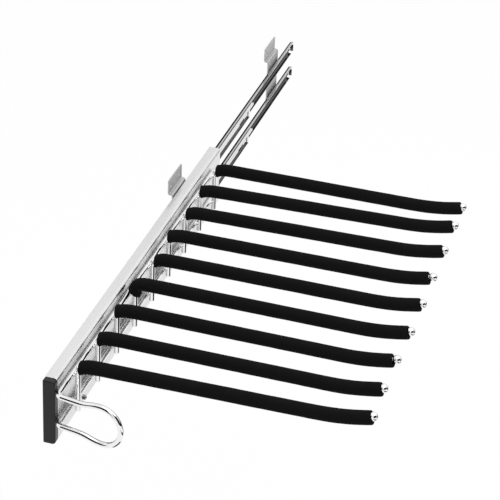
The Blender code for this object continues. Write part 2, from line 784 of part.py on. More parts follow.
def make_tip_ball(number, arm, y):
    """Ball with a blind hole that takes the end of the arm wire."""
    name = f"tip_ball_{number}"
    mesh = sphere_mesh(name, TIP_BALL)
    smooth(mesh)
    place = tip_place(arm, 1) + Vector((0, y, 0))
    obj = add_part(name, mesh, CHROME, CARRIER_SLIDE, place, tip_lean(arm))
    bore = cylinder_mesh(f"{name}_bore", WIRE + 2 * SLEEVE_BORE_GAP, TIP_BALL)
    along = Vector((cos(tip_slope(arm)), 0, sin(tip_slope(arm))))
    middle = place - along * (TIP_BALL / 2 - FIT_GAP)
    boolean(obj, add_helper(f"{name}_bore", bore, middle, tip_lean(arm)), "DIFFERENCE")
    return obj


clear_scene()
PARTS = collection("trouser_hanger")
CUTTERS = collection("cutters")

ZINC_STEEL = finish("zinc_steel", (0.60, 0.60, 0.60), 0.38, 1.0)
SLIDE_STEEL = finish("slide_steel", (0.56, 0.57, 0.58), 0.28, 1.0)
POLISHED_METAL = finish("polished_metal", (0.80, 0.80, 0.80), 0.18, 1.0)
CHROME = finish("chrome", (0.86, 0.86, 0.87), 0.06, 1.0)
BLACK_PLASTIC = finish("black_plastic", (0.025, 0.025, 0.025), 0.45, 0.0)
PALE_PLASTIC = finish("pale_plastic", (0.75, 0.75, 0.74), 0.45, 0.0)
BLACK_FOAM = finish("black_foam", (0.012, 0.012, 0.012), 0.85, 0.0)

SLIDE_MIDDLE_Z = (UPPER_SLIDE_Z + LOWER_SLIDE_Z) / 2
WALL_SIDE = joint_empty("wall_side", (0, 0, 0))
MIDDLE_SLIDE = joint_empty("middle_slide", (MIDDLE_X, MIDDLE_FRONT, SLIDE_MIDDLE_Z))
OUTER_CAGE_SLIDE = joint_empty("outer_cage_slide", (OUTER_X, OUTER_CAGE_FRONT, SLIDE_MIDDLE_Z))
INNER_CAGE_SLIDE = joint_empty("inner_cage_slide", (MIDDLE_X, INNER_CAGE_FRONT, SLIDE_MIDDLE_Z))
CARRIER_SLIDE = joint_empty("carrier_slide", (CARRIER_LEFT, CARRIER_FRONT, SLIDE_MIDDLE_Z))

OUTER_CAGE_X = OUTER_X + RAIL_SHEET + RIVET_HEAD_HEIGHT + 2 * FIT_GAP
INNER_CAGE_X = MIDDLE_X + RAIL_SHEET + FIT_GAP

for end, end_y in BRACKETS.items():
    make_bracket(f"bracket_{end}", end_y)
for level, level_z in SLIDES.items():
    make_outer_rail(f"outer_rail_{level}", level_z)
    make_middle_member(f"middle_member_{level}", level_z)
    make_bumper(f"slide_bumper_{level}", level_z)
    make_inner_rail(f"inner_rail_{level}", level_z)
    make_cage(
        f"outer_cage_{level}", OUTER_CAGE_X, OUTER_CAGE_FRONT, OUTER_CAGE_LENGTH, level_z, OUTER_CAGE_SLIDE
    )
    make_cage(
        f"inner_cage_{level}", INNER_CAGE_X, INNER_CAGE_FRONT, INNER_CAGE_LENGTH, level_z, INNER_CAGE_SLIDE
    )
    for end, end_y in BRACKETS.items():
        make_bracket_rivet(f"rail_rivet_{level}_{end}", end_y, level_z)
    for index, rivet_y in enumerate(inner_rivet_places(), 1):
        make_inner_rivet(f"inner_rivet_{level}_{index}", rivet_y, level_z)
make_carrier_profile()
make_front_cap()
make_carrier_screw()
make_wire_frame()
for index, arm_shape in enumerate(ARMS):
    arm_y = CARRIER_FRONT + FIRST_ARM + ARM_PITCH * index
    make_arm_wire(index + 1, arm_shape, arm_y)
    make_sleeve(index + 1, arm_shape, arm_y)
    make_tip_ball(index + 1, arm_shape, arm_y)
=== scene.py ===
"""Pull-out trouser hanger: finished pieces, finishes and the studio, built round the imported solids."""

from math import atan, cos, pi, radians, sin, tan

import bmesh
import bpy
from mathutils import Matrix, Vector


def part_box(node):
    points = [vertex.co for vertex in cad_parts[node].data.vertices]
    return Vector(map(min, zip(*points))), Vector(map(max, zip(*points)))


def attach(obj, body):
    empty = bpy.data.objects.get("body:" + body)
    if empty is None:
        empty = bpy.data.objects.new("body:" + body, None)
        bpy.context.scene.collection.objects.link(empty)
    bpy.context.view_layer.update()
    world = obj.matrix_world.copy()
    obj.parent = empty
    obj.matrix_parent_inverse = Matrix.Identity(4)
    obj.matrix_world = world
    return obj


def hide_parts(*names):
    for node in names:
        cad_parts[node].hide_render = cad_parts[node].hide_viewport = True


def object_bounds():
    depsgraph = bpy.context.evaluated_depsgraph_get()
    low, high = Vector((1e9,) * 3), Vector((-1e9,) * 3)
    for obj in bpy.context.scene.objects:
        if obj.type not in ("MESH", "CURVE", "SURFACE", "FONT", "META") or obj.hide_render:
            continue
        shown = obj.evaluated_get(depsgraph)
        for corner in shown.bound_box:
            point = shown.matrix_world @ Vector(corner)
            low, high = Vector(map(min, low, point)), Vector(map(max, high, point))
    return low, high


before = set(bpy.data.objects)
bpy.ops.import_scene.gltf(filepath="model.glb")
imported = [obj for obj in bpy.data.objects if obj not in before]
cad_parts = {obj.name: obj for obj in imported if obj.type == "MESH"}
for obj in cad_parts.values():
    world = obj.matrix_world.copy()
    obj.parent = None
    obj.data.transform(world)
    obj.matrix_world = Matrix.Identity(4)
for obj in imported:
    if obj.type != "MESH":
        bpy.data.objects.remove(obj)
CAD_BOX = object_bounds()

bl_info = {
    "name": "Pull-out trouser hanger",
    "version": (1, 0, 0),
    "blender": (4, 5, 0),
    "location": "View3D > Sidebar > Hanger",
    "description": "Models the pieces of a side-mounted trouser hanger and lights them",
    "category": "Object",
}

LEVELS = ("upper", "lower")
ENDS = ("front", "rear")
ARM_NUMBERS = range(1, 1 + sum(name.startswith("arm_wire_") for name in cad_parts))
X_AXIS, Y_AXIS, Z_AXIS = Vector((1, 0, 0)), Vector((0, 1, 0)), Vector((0, 0, 1))
WHITE = (1, 1, 1, 1)

# Steps of the round forms
WIRE_SIDES = 28
HOLE_SIDES = 32
SLEEVE_SIDES = 20
SLEEVE_BEND_STEPS = 3
SLEEVE_RUN_STEPS = 11
SLEEVE_TIP_STEPS = 5
SLEEVE_LEVELS = 2
BEND_STEPS = 14
RUN_STEPS = 22
TIP_STEPS = 12
LOOP_STEPS = 44
FLARE_STEPS = 3
TURN_STEPS = 40
DOME_STEPS = 6
BEAD_STEPS = 10
CORNER_STEPS = 8
EDGE_STEPS = 3
FINE_STEPS = 2

# Closeness of places that count as one, and how far a cutter reaches past what it cuts
WELD = 1e-6
NEAR = 10 * WELD
CUT_PAST = 0.001

# Side of the small plane that is merged into the first vertex of a chain
SEED = 0.001

# Edges: angles, and shares of a sheet's thickness or a window's height
SMOOTH_ANGLE = radians(32)
SHARP_ANGLE = radians(50)
EDGE_SHARE = 1 / 8
RAIL_EDGE_SHARE = 1 / 6
ROUND_END_SHARE = 0.49

# How far above and under a raceway's floor the painted shade reaches
RACEWAY_BAND = 0.0012


def amount(label, text, default, **more):
    return bpy.props.FloatProperty(name=label, description=text, default=default, **more)


def amounts(label, text, default, **more):
    return bpy.props.FloatVectorProperty(
        name=label, description=text, default=default, size=len(default), **more
    )


def count(label, text, default, least):
    return bpy.props.IntProperty(name=label, description=text, default=default, min=least)


def length(label, text, default):
    return amount(label, text, default, precision=5, unit="LENGTH")


def lengths(label, text, *default):
    return amounts(label, text, default, precision=5, unit="LENGTH")


def angle(label, text, degrees):
    return amount(label, text, radians(degrees), subtype="ANGLE")


def angles(label, text, *degrees):
    return amounts(label, text, [radians(d) for d in degrees], unit="ROTATION")


def colour(label, text, *default):
    return amounts(label, text, default, min=0, max=1, subtype="COLOR")


class HANGER_PG_brackets(bpy.types.PropertyGroup):
    """Sizes of the wall brackets"""

    sheet: length("Sheet", "Thickness of the bracket's steel", 0.0015)
    bend: length("Bend", "Inner radius of the two bends", 0.0010)
    flange: length("Wall flange", "Height of the flange that lies on the wall", 0.0170)
    corner: length("Corner", "Radius of the sheet's outer corners", 0.0012)
    hole: length("Hole", "Diameter of the screw holes", 0.0045)
    hole_pitch: length("Hole pitch", "Distance between a bracket's screw holes", 0.0270)


class HANGER_PG_slides(bpy.types.PropertyGroup):
    """Sizes of the telescopic slides"""

    sheet: length("Sheet", "Thickness of the rolled steel", 0.0008)
    bend: length("Bend", "Middle radius of the outer rails' bends", 0.0034)
    corner: length("Corner", "Radius of the rolled members' edges", 0.00022)
    shoulder: length("Shoulder", "Radius of the middle members' outer corners", 0.0009)
    short: length("Short flange", "How much shorter the middle members' lower flange is", 0.0007)
    cut_back: length("Cut back", "How far the middle members' lower half is cut back at the rear", 0.0130)
    cut_height: length("Cut height", "How far above the middle that cut starts", 0.0015)
    stop_relief: length("Stop relief", "Gap in the lower flange before the stop tab", 0.0080)
    runner_height: length("Runner height", "Outer height across a pair of runners", 0.0070)
    runner_depth: length("Runner depth", "How far the runners stand out from their web", 0.0028)
    window_length: length("Window length", "Length of the oblong window", 0.0180)
    window_height: length("Window height", "Height of the oblong window", 0.0026)
    window_from_end: length("Window from end", "From the rear end to the window's middle", 0.0380)
    window_drop: length("Window drop", "How far the window lies under the middle", 0.0016)
    bumper_edge: length("Bumper edge", "Width of the bumper's rounded edges", 0.00025)
    bumper_wall: length("Bumper wall", "Wall of the bumper where it is cut back", 0.0008)
    bumper_tongue: length("Bumper tongue", "Length of the bumper's lower tongue", 0.0045)
    bumper_lip: length("Bumper lip", "Height of the bumper's lip", 0.0025)
    bumper_depth: length("Bumper depth", "Depth of the bumper's lip", 0.0016)
    cage_sheet: length("Cage sheet", "Thickness of the ball cages' strip", 0.0004)
    cage_depth: length("Cage depth", "Depth of a cage from its strip to its edge", 0.0021)
    ball: length("Ball", "Diameter of the slide's balls", 0.0015)
    ball_rows: count("Ball rows", "Pairs of balls in a cage", 6, least=1)
    rivet_head: length("Rivet head", "Diameter of the rivets' heads", 0.0036)
    rivet_shank: length("Rivet shank", "Diameter of the rivets' shanks", 0.0022)
    rivet_height: length("Rivet height", "Height of a rivet's head", 0.0005)


class HANGER_PG_carrier(bpy.types.PropertyGroup):
    """Sizes of the carrier and its end cap"""

    wall: length("Wall", "Thickness of the carrier's wall", 0.0015)
    corner: length("Corner", "Outer radius of the arm-side corners", 0.0035)
    cap_depth: length("Cap depth", "Depth of the end cap in front of the carrier", 0.0065)
    cap_edge: length("Cap edge", "Radius of the cap's front edges", 0.0013)
    fit: length("Fit", "Gap between pieces that are put together", 0.0003)
    screw_head: length("Screw head", "Diameter of the screw's pan head", 0.0048)
    screw_height: length("Screw height", "Height of the pan head", 0.0022)
    screw_shank: length("Screw shank", "Diameter of the screw's shank", 0.0030)
    recess_reach: length("Recess reach", "Length across the cross recess", 0.0030)
    recess_width: length("Recess width", "Width of the cross recess's slots", 0.0007)
    recess_depth: length("Recess depth", "Depth of the cross recess", 0.0010)


class HANGER_PG_wires(bpy.types.PropertyGroup):
    """Sizes of the wire frame and its loop handle"""

    wire: length("Wire", "Diameter of the wire", 0.0055)
    end_edge: length("End edge", "Radius at the wire's cut ends", 0.0007)
    rod_drop: length("Rod drop", "From the carrier's top to the upper rod", 0.0115)
    rod_pitch: length("Rod pitch", "Distance between the two rods", 0.0320)
    rod_tail: length("Rod tail", "How far the rods run past the last arm", 0.0160)
    lead: length("Handle lead", "How far the handle stands before the cap", 0.0025)
    lean: angle("Handle lean", "How far the handle leans forward", 10)
    reach: length("Handle reach", "From the rods to the loop's outer end", 0.0654)
    loop: length("Handle loop", "Diameter of the loop's middle line", 0.0392)
    flare_start: length("Flare start", "Where the handle's legs start to part", 0.0200)
    front_bend: length("Front bend", "Radius where the rods turn into the handle", 0.0060)


class HANGER_PG_arms(bpy.types.PropertyGroup):
    """Sizes of the arms, their sleeves and their balls"""

    reach: length("Reach", "From the post to the ball's middle", 0.2715)
    further: lengths(
        "Further", "How much further each arm reaches",
        0.0005, -0.0020, -0.0015, 0, 0, -0.0005, 0, 0, -0.0015,
    )
    tilts: angles("Tilts", "How far each arm is tilted up", 0.9, 0.1, -0.1, -0.1, 0.1, 0.3, 0.9, 1.2, 0.1)
    rise: length("Rise", "How far the arms lie above the carrier's top", 0.0004)
    bend: length("Bend", "Radius where a post turns into its arm", 0.0080)
    tip_run: length("Tip run", "Length of the upturned end", 0.0500)
    tip_rise: length("Tip rise", "How far the upturned end rises", 0.0063)
    sag: length("Sag", "How far a loose sleeve hangs under the wire at its tip", 0.0011)
    ball: length("Ball", "Diameter of the ball at the tip", 0.0085)
    weld: length("Weld", "Width of the weld between a post and a rod", 0.0030)
    weld_depth: length("Weld depth", "Depth of that weld from the post to the rod", 0.0015)
    sleeve: length("Sleeve", "Outer diameter of the foam sleeves", 0.0132)
    bore: length("Bore", "Inner diameter of the foam sleeves", 0.0065)
    slant: angle("Slant", "How far the pushed-down sleeve's end is turned back to the upright", 30)
    post_lean: angle("Post lean", "How far the other sleeves' post ends look down", 4)
    post_rim: amount("Post rim", "Width of a sleeve's post end, as a share of its own", 1.10, min=0)
    tip_lean: angle("Tip lean", "How far a sleeve's tip end leans out at the bottom", 6)
    tip_rim: amount("Tip rim", "Width of a sleeve's tip end, as a share of its own", 0.98, min=0)
    lip: length("Lip", "Length of the flared lip at a sleeve's tip end", 0.0016)
    unevenness: length("Unevenness", "How far the foam's skin swells and dips", 0.00030)
    swell: length("Swell", "Length of the foam's swells", 0.0140)
    post_edge: length("Post edge", "Length of the rounded edge at a sleeve's post end", 0.0022)
    droop: length("Droop", "How far a sleeve's post end hangs under its arm", 0.0028)
    sleeve_ends: lengths(
        "Sleeve ends", "How far each sleeve's post end lies past the post's middle",
        -0.0021, -0.0013, 0.0005, 0, -0.0032, 0.0001, -0.0026, -0.0010, -0.0023,
    )
    pushed_down: count("Pushed down", "The arm whose sleeve is pushed down round its bend", 4, least=0)
    push: length("Push", "How far that sleeve goes back round its bend", 0.0160)
    sleeve_stops: lengths(
        "Sleeve stops", "How far each sleeve stops short of the ball's middle",
        0.0007, 0.0013, 0.0034, 0.0018, 0.0019, 0.0038, 0.0014, 0.0020, 0.0012,
    )


class HANGER_PG_finishes(bpy.types.PropertyGroup):
    """Colours of the finishes"""

    chrome: colour("Chrome", "Plating of the wires and balls", 0.88, 0.88, 0.89)
    polished_metal: colour("Polished metal", "The carrier's aluminium", 0.80, 0.80, 0.80)
    zinc_steel: colour("Zinc", "Plating of the wall brackets", 0.56, 0.56, 0.56)
    slide_steel: colour("Slide steel", "Rolled steel of the slides", 0.50, 0.50, 0.51)
    # Painted light: a lighter copy of the slide steel, so that the middle members read brighter than the
    # outer rails
    bright_steel: colour("Bright steel", "Brighter steel of the middle members", 0.78, 0.78, 0.79)
    # Painted shade: the dark colour laid in the lower raceways and on faces that face the front
    raceway_shade: colour("Grease", "Film of grease in the lower raceways", 0.07, 0.07, 0.068)
    black_plastic: colour("Black plastic", "Moulding of the end cap", 0.009, 0.009, 0.009)
    pale_plastic: colour("Pale plastic", "Moulding of the bumpers", 0.86, 0.86, 0.84)
    black_foam: colour("Black foam", "Skin of the sleeves", 0.0038, 0.0038, 0.0040)


class HANGER_PG_studio(bpy.types.PropertyGroup):
    """Camera, floor, lamps and dark cards"""

    camera: lengths("Camera", "Where the camera stands", 0.54277, -1.65127, 0.94565)
    azimuth: angle("Azimuth", "How far the camera is turned about the vertical", 15.445)
    elevation: angle("Elevation", "How far the camera looks down", 30.607)
    roll: angle("Roll", "How far the camera is rolled", 2.975)
    lens: amount("Lens", "Focal length", 135.42, subtype="DISTANCE_CAMERA")
    floor_drop: length("Floor drop", "How far the floor lies under the hanger", 0.30)
    floor_size: length("Floor size", "Side of the square floor", 30.0)
    floor: colour("Floor", "Colour of the floor", 0.97, 0.97, 0.97)
    glow: amount("Glow", "Share of plain white in the floor as it is seen", 0.94, min=0, max=1)
    ambient: amount("Ambient", "Strength of the even light", 0.70, min=0)
    key: amount("Key", "Power of the large lamp", 16, subtype="POWER")
    key_place: lengths("Key place", "Where the large lamp hangs, from the hanger's middle", 0.3, -0.3, 1.6)
    key_size: length("Key size", "Side of the large lamp", 1.6)
    fill: amount("Fill", "Power of the fill lamp", 5, subtype="POWER")
    fill_place: lengths("Fill place", "Where the fill lamp hangs, from the hanger's middle", 1.3, -0.9, 0.7)
    fill_size: length("Fill size", "Side of the fill lamp", 1.0)
    dark: colour("Dark", "Colour of the dark cards", 0.01, 0.01, 0.01)
    card: length("Card", "Thickness of a lying card, and half that of those at the room's edges", 0.01)
    side: length("Side", "How far to the left and the right the cards reach", 2.6)
    front: length("Front", "Where the front card stands", -1.95)
    back: length("Back", "Where the back cards stand", 1.9)


SETTINGS = {
    "hanger_brackets": HANGER_PG_brackets,
    "hanger_slides": HANGER_PG_slides,
    "hanger_carrier": HANGER_PG_carrier,
    "hanger_wires": HANGER_PG_wires,
    "hanger_arms": HANGER_PG_arms,
    "hanger_finishes": HANGER_PG_finishes,
    "hanger_studio": HANGER_PG_studio,
}


# Selecting and shaping

def deselect():
    bpy.ops.object.select_all(action="DESELECT")


def select_only(obj):
    deselect()
    obj.select_set(True)
    bpy.context.view_layer.objects.active = obj


def copies_of(model, total):
    """The model and copies of it, each with its own mesh."""
    made = [model]
    while len(made) < total:
        select_only(model)
        bpy.ops.object.duplicate()
        made.append(bpy.context.active_object)
    return made


def join(obj, others):
    select_only(obj)
    for other in others:
        other.select_set(True)
    bpy.ops.object.join()


def leave_edit():
    bpy.ops.object.mode_set(mode="OBJECT")
    return bpy.context.active_object


def close_up():
    """Merges the doubles of the mesh being edited, turns its faces outwards and leaves edit mode."""
    bpy.ops.mesh.select_all(action="SELECT")
    bpy.ops.mesh.remove_doubles(threshold=WELD)
    bpy.ops.mesh.normals_make_consistent(inside=False)
    return leave_edit()


def pick(obj, kind, test):
    """Enters edit mode and selects only the edges or faces whose corners pass a test."""
    select_only(obj)
    bpy.ops.object.mode_set(mode="EDIT")
    bpy.ops.mesh.select_mode(type=kind)
    bpy.ops.mesh.select_all(action="DESELECT")
    grid = bmesh.from_edit_mesh(obj.data)
    parts = grid.edges if kind == "EDGE" else grid.faces
    found = [part for part in parts if test([corner.co for corner in part.verts])]
    if not found:
        raise RuntimeError(f"{obj.name}: nothing lies where it was to be picked")
    for part in found:
        part.select_set(True)
    bmesh.update_edit_mesh(obj.data)


def near(a, b):
    return abs(a - b) < NEAR


def along_x(ends):
    a, b = ends
    return near(a.y, b.y) and near(a.z, b.z)


def along_y(ends):
    a, b = ends
    return near(a.x, b.x) and near(a.z, b.z)


def runs_at(ends, places):
    """Whether an edge runs along Y at one of some (x, z) places."""
    return along_y(ends) and any(near(ends[0].x, x) and near(ends[0].z, z) for x, z in places)


def round_edges(obj, radius, steps, test):
    """Rounds the edges whose two ends pass a test."""
    pick(obj, "EDGE", test)
    bpy.ops.mesh.bevel(offset=radius, segments=steps, affect="EDGES")
    return leave_edit()


def drag(step):
    bpy.ops.mesh.extrude_region_move(TRANSFORM_OT_translate={"value": step})


def apply_modifier(obj, kind, **settings):
    modifier = obj.modifiers.new(kind.lower(), kind)
    for name, value in settings.items():
        setattr(modifier, name, value)
    select_only(obj)
    bpy.ops.object.modifier_apply(modifier=modifier.name)


def soften(obj, width, steps=FINE_STEPS):
    """Breaks the sharp edges."""
    apply_modifier(obj, "BEVEL", width=width, segments=steps, limit_method="ANGLE", angle_limit=SHARP_ANGLE)


def cut(obj, cutter):
    before = [tuple(v.co) for v in obj.data.vertices]
    apply_modifier(obj, "BOOLEAN", operation="DIFFERENCE", object=cutter, solver="EXACT")
    if [tuple(v.co) for v in obj.data.vertices] == before:
        raise RuntimeError(f"{obj.name}: a cut took nothing away")
    bpy.data.objects.remove(cutter, do_unlink=True)


def box_between(low, high):
    """A cube primitive brought to the size and place of a box."""
    deselect()
    bpy.ops.mesh.primitive_cube_add(size=1, location=(Vector(low) + Vector(high)) / 2)
    obj = bpy.context.active_object
    obj.scale = Vector(high) - Vector(low)
    bpy.ops.object.transform_apply()
    return obj


def hole_cutter(diameter, depth, place):
    """A cylinder along X."""
    deselect()
    bpy.ops.mesh.primitive_cylinder_add(
        vertices=HOLE_SIDES, radius=diameter / 2, depth=depth, location=place, rotation=(0, pi / 2, 0)
    )
    bpy.ops.object.transform_apply()
    return bpy.context.active_object


def draw_chain(points):
    """Edges from point to point, drawn by extruding one vertex; edit mode stays on."""
    deselect()
    bpy.ops.mesh.primitive_plane_add(size=SEED, location=points[0])
    bpy.ops.object.transform_apply()
    bpy.ops.object.mode_set(mode="EDIT")
    bpy.ops.mesh.select_mode(type="VERT")
    bpy.ops.mesh.select_all(action="SELECT")
    bpy.ops.mesh.merge(type="CENTER")
    for here, there in zip(points, points[1:]):
        drag(Vector(there) - Vector(here))
    bpy.ops.mesh.select_all(action="SELECT")


def bent_sheet(line, front, rear, bend, sheet):
    """Sheet metal through the (x, z) points of a middle line, drawn out along Y, with rounded bends."""
    draw_chain([(x, front, z) for x, z in line])
    drag((0, rear - front, 0))
    obj = leave_edit()
    round_edges(obj, bend, CORNER_STEPS, lambda ends: runs_at(ends, line[1:-1]))
    apply_modifier(obj, "SOLIDIFY", thickness=sheet, offset=0, use_even_offset=True)
    return obj


def mirrored(upper, middle, reach):
    """An (x, z) outline from its upper half, with a lower half that reaches only so far."""
    lower = [(min(x, reach), -z) for x, z in reversed(upper)]
    return [(x, middle + z) for x, z in upper + lower]


def rolled_bar(outline, front, rear, corner, shoulders=(), shoulder=0):
    """A solid bar from an (x, z) outline, drawn out along Y and rounded at its shoulders and corners."""
    draw_chain([(x, front, z) for x, z in outline])
    bpy.ops.mesh.edge_face_add()
    drag((0, rear - front, 0))
    obj = close_up()
    round_edges(obj, corner, FINE_STEPS, lambda ends: along_y(ends) and not runs_at(ends, shoulders))
    if shoulders:
        round_edges(obj, shoulder, CORNER_STEPS, lambda ends: runs_at(ends, shoulders))
    return obj


def turned(profile):
    """Spins (distance along X, radius) points about X."""
    draw_chain([(along, 0, radius) for along, radius in profile])
    bpy.ops.mesh.spin(steps=TURN_STEPS, angle=2 * pi, center=(0, 0, 0), axis=X_AXIS)
    return close_up()


def parts_of(turn, steps):
    """Angles from 0 to a whole turn in even steps."""
    return [turn * step / steps for step in range(steps + 1)]


def dome(start, height, radius):
    """Profile points of a shallow dome: from its crown out to its rim, in the direction of the height."""
    return [(start + height * cos(t), radius * sin(t)) for t in parts_of(pi / 2, DOME_STEPS)]


def bead(width, depth):
    """A ball as wide as it is deep, or a flattened one, turned about X."""
    return turned([(-depth / 2 * cos(t), width / 2 * sin(t)) for t in parts_of(pi, BEAD_STEPS)])


def placing(place, heading, axis, up):
    """The matrix that turns an axis to a heading and moves it to a place."""
    return Matrix.Translation(place) @ heading.to_track_quat(axis, up).to_matrix().to_4x4()


class WireEnd:
    """The growing end of a wire or tube in edit mode: where it is and which way it heads."""

    def __init__(self, place, heading, diameter, sides, fill="NGON"):
        self.place = Vector(place)
        self.heading = Vector(heading).normalized()
        deselect()
        bpy.ops.mesh.primitive_circle_add(vertices=sides, radius=diameter / 2, fill_type=fill)
        bpy.context.active_object.matrix_world = placing(place, self.heading, "Z", "Y")
        bpy.ops.object.transform_apply()
        bpy.ops.object.mode_set(mode="EDIT")
        bpy.ops.mesh.select_mode(type="FACE" if fill == "NGON" else "EDGE")
        bpy.ops.mesh.select_all(action="SELECT")

    def run(self, distance, steps=1):
        for _ in range(steps):
            drag(self.heading * distance / steps)
        self.place = self.place + self.heading * distance

    def bend(self, turn, radius, axis, steps):
        """Bends the wire by an angle about an axis that is square to its heading."""
        side = 1 if turn > 0 else -1
        centre = self.place + axis.cross(self.heading) * radius * side
        # Spin counts its angle the other way round the axis
        bpy.ops.mesh.spin(steps=steps, angle=-turn, center=centre, axis=axis)
        turning = Matrix.Rotation(turn, 3, axis)
        self.place = centre + turning @ (self.place - centre)
        self.heading = turning @ self.heading


def finish_piece(obj, name, body, slot, *nodes, finish=None):
    """Names a modelled piece, shades it, gives it its finish and ties it to the frame."""
    if not obj.data.polygons:
        raise RuntimeError(f"{name} has no faces")
    obj.name = name
    obj.data.name = name
    select_only(obj)
    bpy.ops.object.transform_apply()
    bpy.ops.object.shade_smooth_by_angle(angle=SMOOTH_ANGLE)
    apply_modifier(obj, "WEIGHTED_NORMAL", keep_sharp=True)
    obj.data.materials.clear()
    obj.data.materials.append(finish_of(finish or slot))
    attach(obj, body)
    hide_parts(*nodes)
    return obj


def finish_copies(model, body, slot, nodes, finish=None):
    """Copies a model, made at the first node's place, to that of each other node, and finishes them all."""
    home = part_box(nodes[0])[0]
    for copy, node in zip(copies_of(model, len(nodes)), nodes):
        copy.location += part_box(node)[0] - home
        finish_piece(copy, f"finished_{node}", body, slot, node, finish=finish)


# Nodes and finishes

def add_node(tree, kind, inputs, **settings):
    """A shader node whose inputs, by name or number, take values or other nodes' outputs."""
    made = tree.nodes.new(kind)
    for name, value in settings.items():
        setattr(made, name, value)
    for key, value in inputs.items():
        if isinstance(value, bpy.types.NodeSocket):
            tree.links.new(value, made.inputs[key])
        else:
            made.inputs[key].default_value = value
    return made


def calculate(tree, operation, *values, **settings):
    """What a Math node makes of values or other nodes' outputs."""
    inputs = dict(enumerate(values))
    return add_node(tree, "ShaderNodeMath", inputs, operation=operation, **settings).outputs["Value"]


def spread(tree, source, low, high, start=0.3, end=0.7):
    """A value from low to high as the source goes from start to end."""
    inputs = {"Value": source, "From Min": start, "From Max": end, "To Min": low, "To Max": high}
    return add_node(tree, "ShaderNodeMapRange", inputs).outputs["Result"]


class Finish:
    """A surface being made: its material, its node tree and its shader's inputs."""

    def __init__(self, slot, roughness, metallic, specular=0.5):
        self.material = bpy.data.materials.new(f"{slot}_finish")
        self.material.use_nodes = True
        self.tree = self.material.node_tree
        self.inputs = self.tree.nodes["Principled BSDF"].inputs
        self.colour = tuple(getattr(bpy.context.scene.hanger_finishes, slot))
        self.inputs["Base Color"].default_value = (*self.colour, 1)
        self.inputs["Roughness"].default_value = roughness
        self.inputs["Metallic"].default_value = metallic
        self.inputs["Specular IOR Level"].default_value = specular

    def pattern(self, kind, output, stretch, **inputs):
        """A texture on the piece's own coordinates."""
        place = add_node(self.tree, "ShaderNodeTexCoord", {}).outputs["Object"]
        mapping = add_node(self.tree, "ShaderNodeMapping", {"Vector": place, "Scale": stretch})
        inputs["Vector"] = mapping.outputs["Vector"]
        return add_node(self.tree, kind, inputs).outputs[output]

    def noise(self, scale, detail, stretch=(1, 1, 1)):
        return self.pattern("ShaderNodeTexNoise", "Fac", stretch, Scale=scale, Detail=detail)

    def cells(self, scale):
        return self.pattern("ShaderNodeTexVoronoi", "Distance", (1, 1, 1), Scale=scale, Randomness=1)

    def gloss(self, source, low, high, start=0.3, end=0.7):
        """Takes the roughness from low to high as a pattern goes from start to end."""
        self.tree.links.new(spread(self.tree, source, low, high, start, end), self.inputs["Roughness"])

    def paint(self, factor, first, second):
        """Mixes the colour from two others."""
        inputs = {"Factor": factor, "A": first, "B": second}
        mix = add_node(self.tree, "ShaderNodeMix", inputs, data_type="RGBA")
        self.tree.links.new(mix.outputs["Result"], self.inputs["Base Color"])

    def shade(self, source, dark, light):
        """Takes the colour from a dark share to a light share of the finish's own as a pattern goes up."""
        ends = [(*(min(1, part * share) for part in self.colour), 1) for share in (dark, light)]
        self.paint(source, *ends)

    def cover(self, mask, overlay_colour):
        """Lays another colour over the surface where a mask says; here it lays painted shade."""
        self.paint(mask, self.inputs["Base Color"].links[0].from_socket, (*overlay_colour, 1))

    def emboss(self, height, depth):
        """Raises the surface by a height pattern; bumps stack on those made before."""
        inputs = {"Height": height, "Distance": depth, "Strength": 1}
        for link in self.inputs["Normal"].links:
            inputs["Normal"] = link.from_socket
        bump = add_node(self.tree, "ShaderNodeBump", inputs)
        self.tree.links.new(bump.outputs["Normal"], self.inputs["Normal"])


def chrome_plate(slot):
    """Bright plating with faint clouding and a slight ripple."""
    finish = Finish(slot, roughness=0.04, metallic=1)
    cloud = finish.noise(scale=160, detail=3)
    finish.gloss(cloud, low=0.02, high=0.06)
    finish.shade(cloud, dark=0.97, light=1.02)
    finish.emboss(finish.noise(scale=420, detail=1), depth=0.000012)
    return finish


def drawn_metal(slot, roughness, spread_by, streak_scale, depth):
    """Metal with fine streaks along the draw, and clouded colour."""
    finish = Finish(slot, roughness, metallic=1)
    streaks = finish.noise(streak_scale, detail=4, stretch=(1, 0.012, 1))
    cloud = finish.noise(scale=60, detail=2, stretch=(1, 0.25, 1))
    finish.gloss(streaks, roughness - spread_by, roughness + spread_by)
    finish.shade(cloud, dark=0.94, light=1.04)
    finish.emboss(streaks, depth)
    return finish


def polished_aluminium(slot):
    return drawn_metal(slot, roughness=0.28, spread_by=0.05, streak_scale=900, depth=0.000002)


def raceway_shade_mask(tree):
    """Painted shade: 1 on the raceways of the slides' lower flanges and on faces that face the front, and 0
    elsewhere.
    """
    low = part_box("outer_rail_upper")[0].z
    floor = low + bpy.context.scene.hanger_slides.sheet
    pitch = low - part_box("outer_rail_lower")[0].z
    point = add_node(tree, "ShaderNodeTexCoord", {}).outputs["Object"]
    normal = add_node(tree, "ShaderNodeNewGeometry", {}).outputs["Normal"]
    height = add_node(tree, "ShaderNodeSeparateXYZ", {"Vector": point}).outputs["Z"]
    facing = add_node(tree, "ShaderNodeSeparateXYZ", {"Vector": normal}).outputs
    wrapped = calculate(tree, "WRAP", height, floor + pitch / 2, floor - pitch / 2)
    level = calculate(tree, "COMPARE", wrapped, floor, RACEWAY_BAND)
    upward = spread(tree, facing["Z"], low=0, high=1, start=0.2, end=0.6)
    frontward = spread(tree, facing["Y"], low=1, high=0, start=-0.9, end=-0.6)
    return calculate(tree, "MULTIPLY_ADD", level, upward, frontward, use_clamp=True)


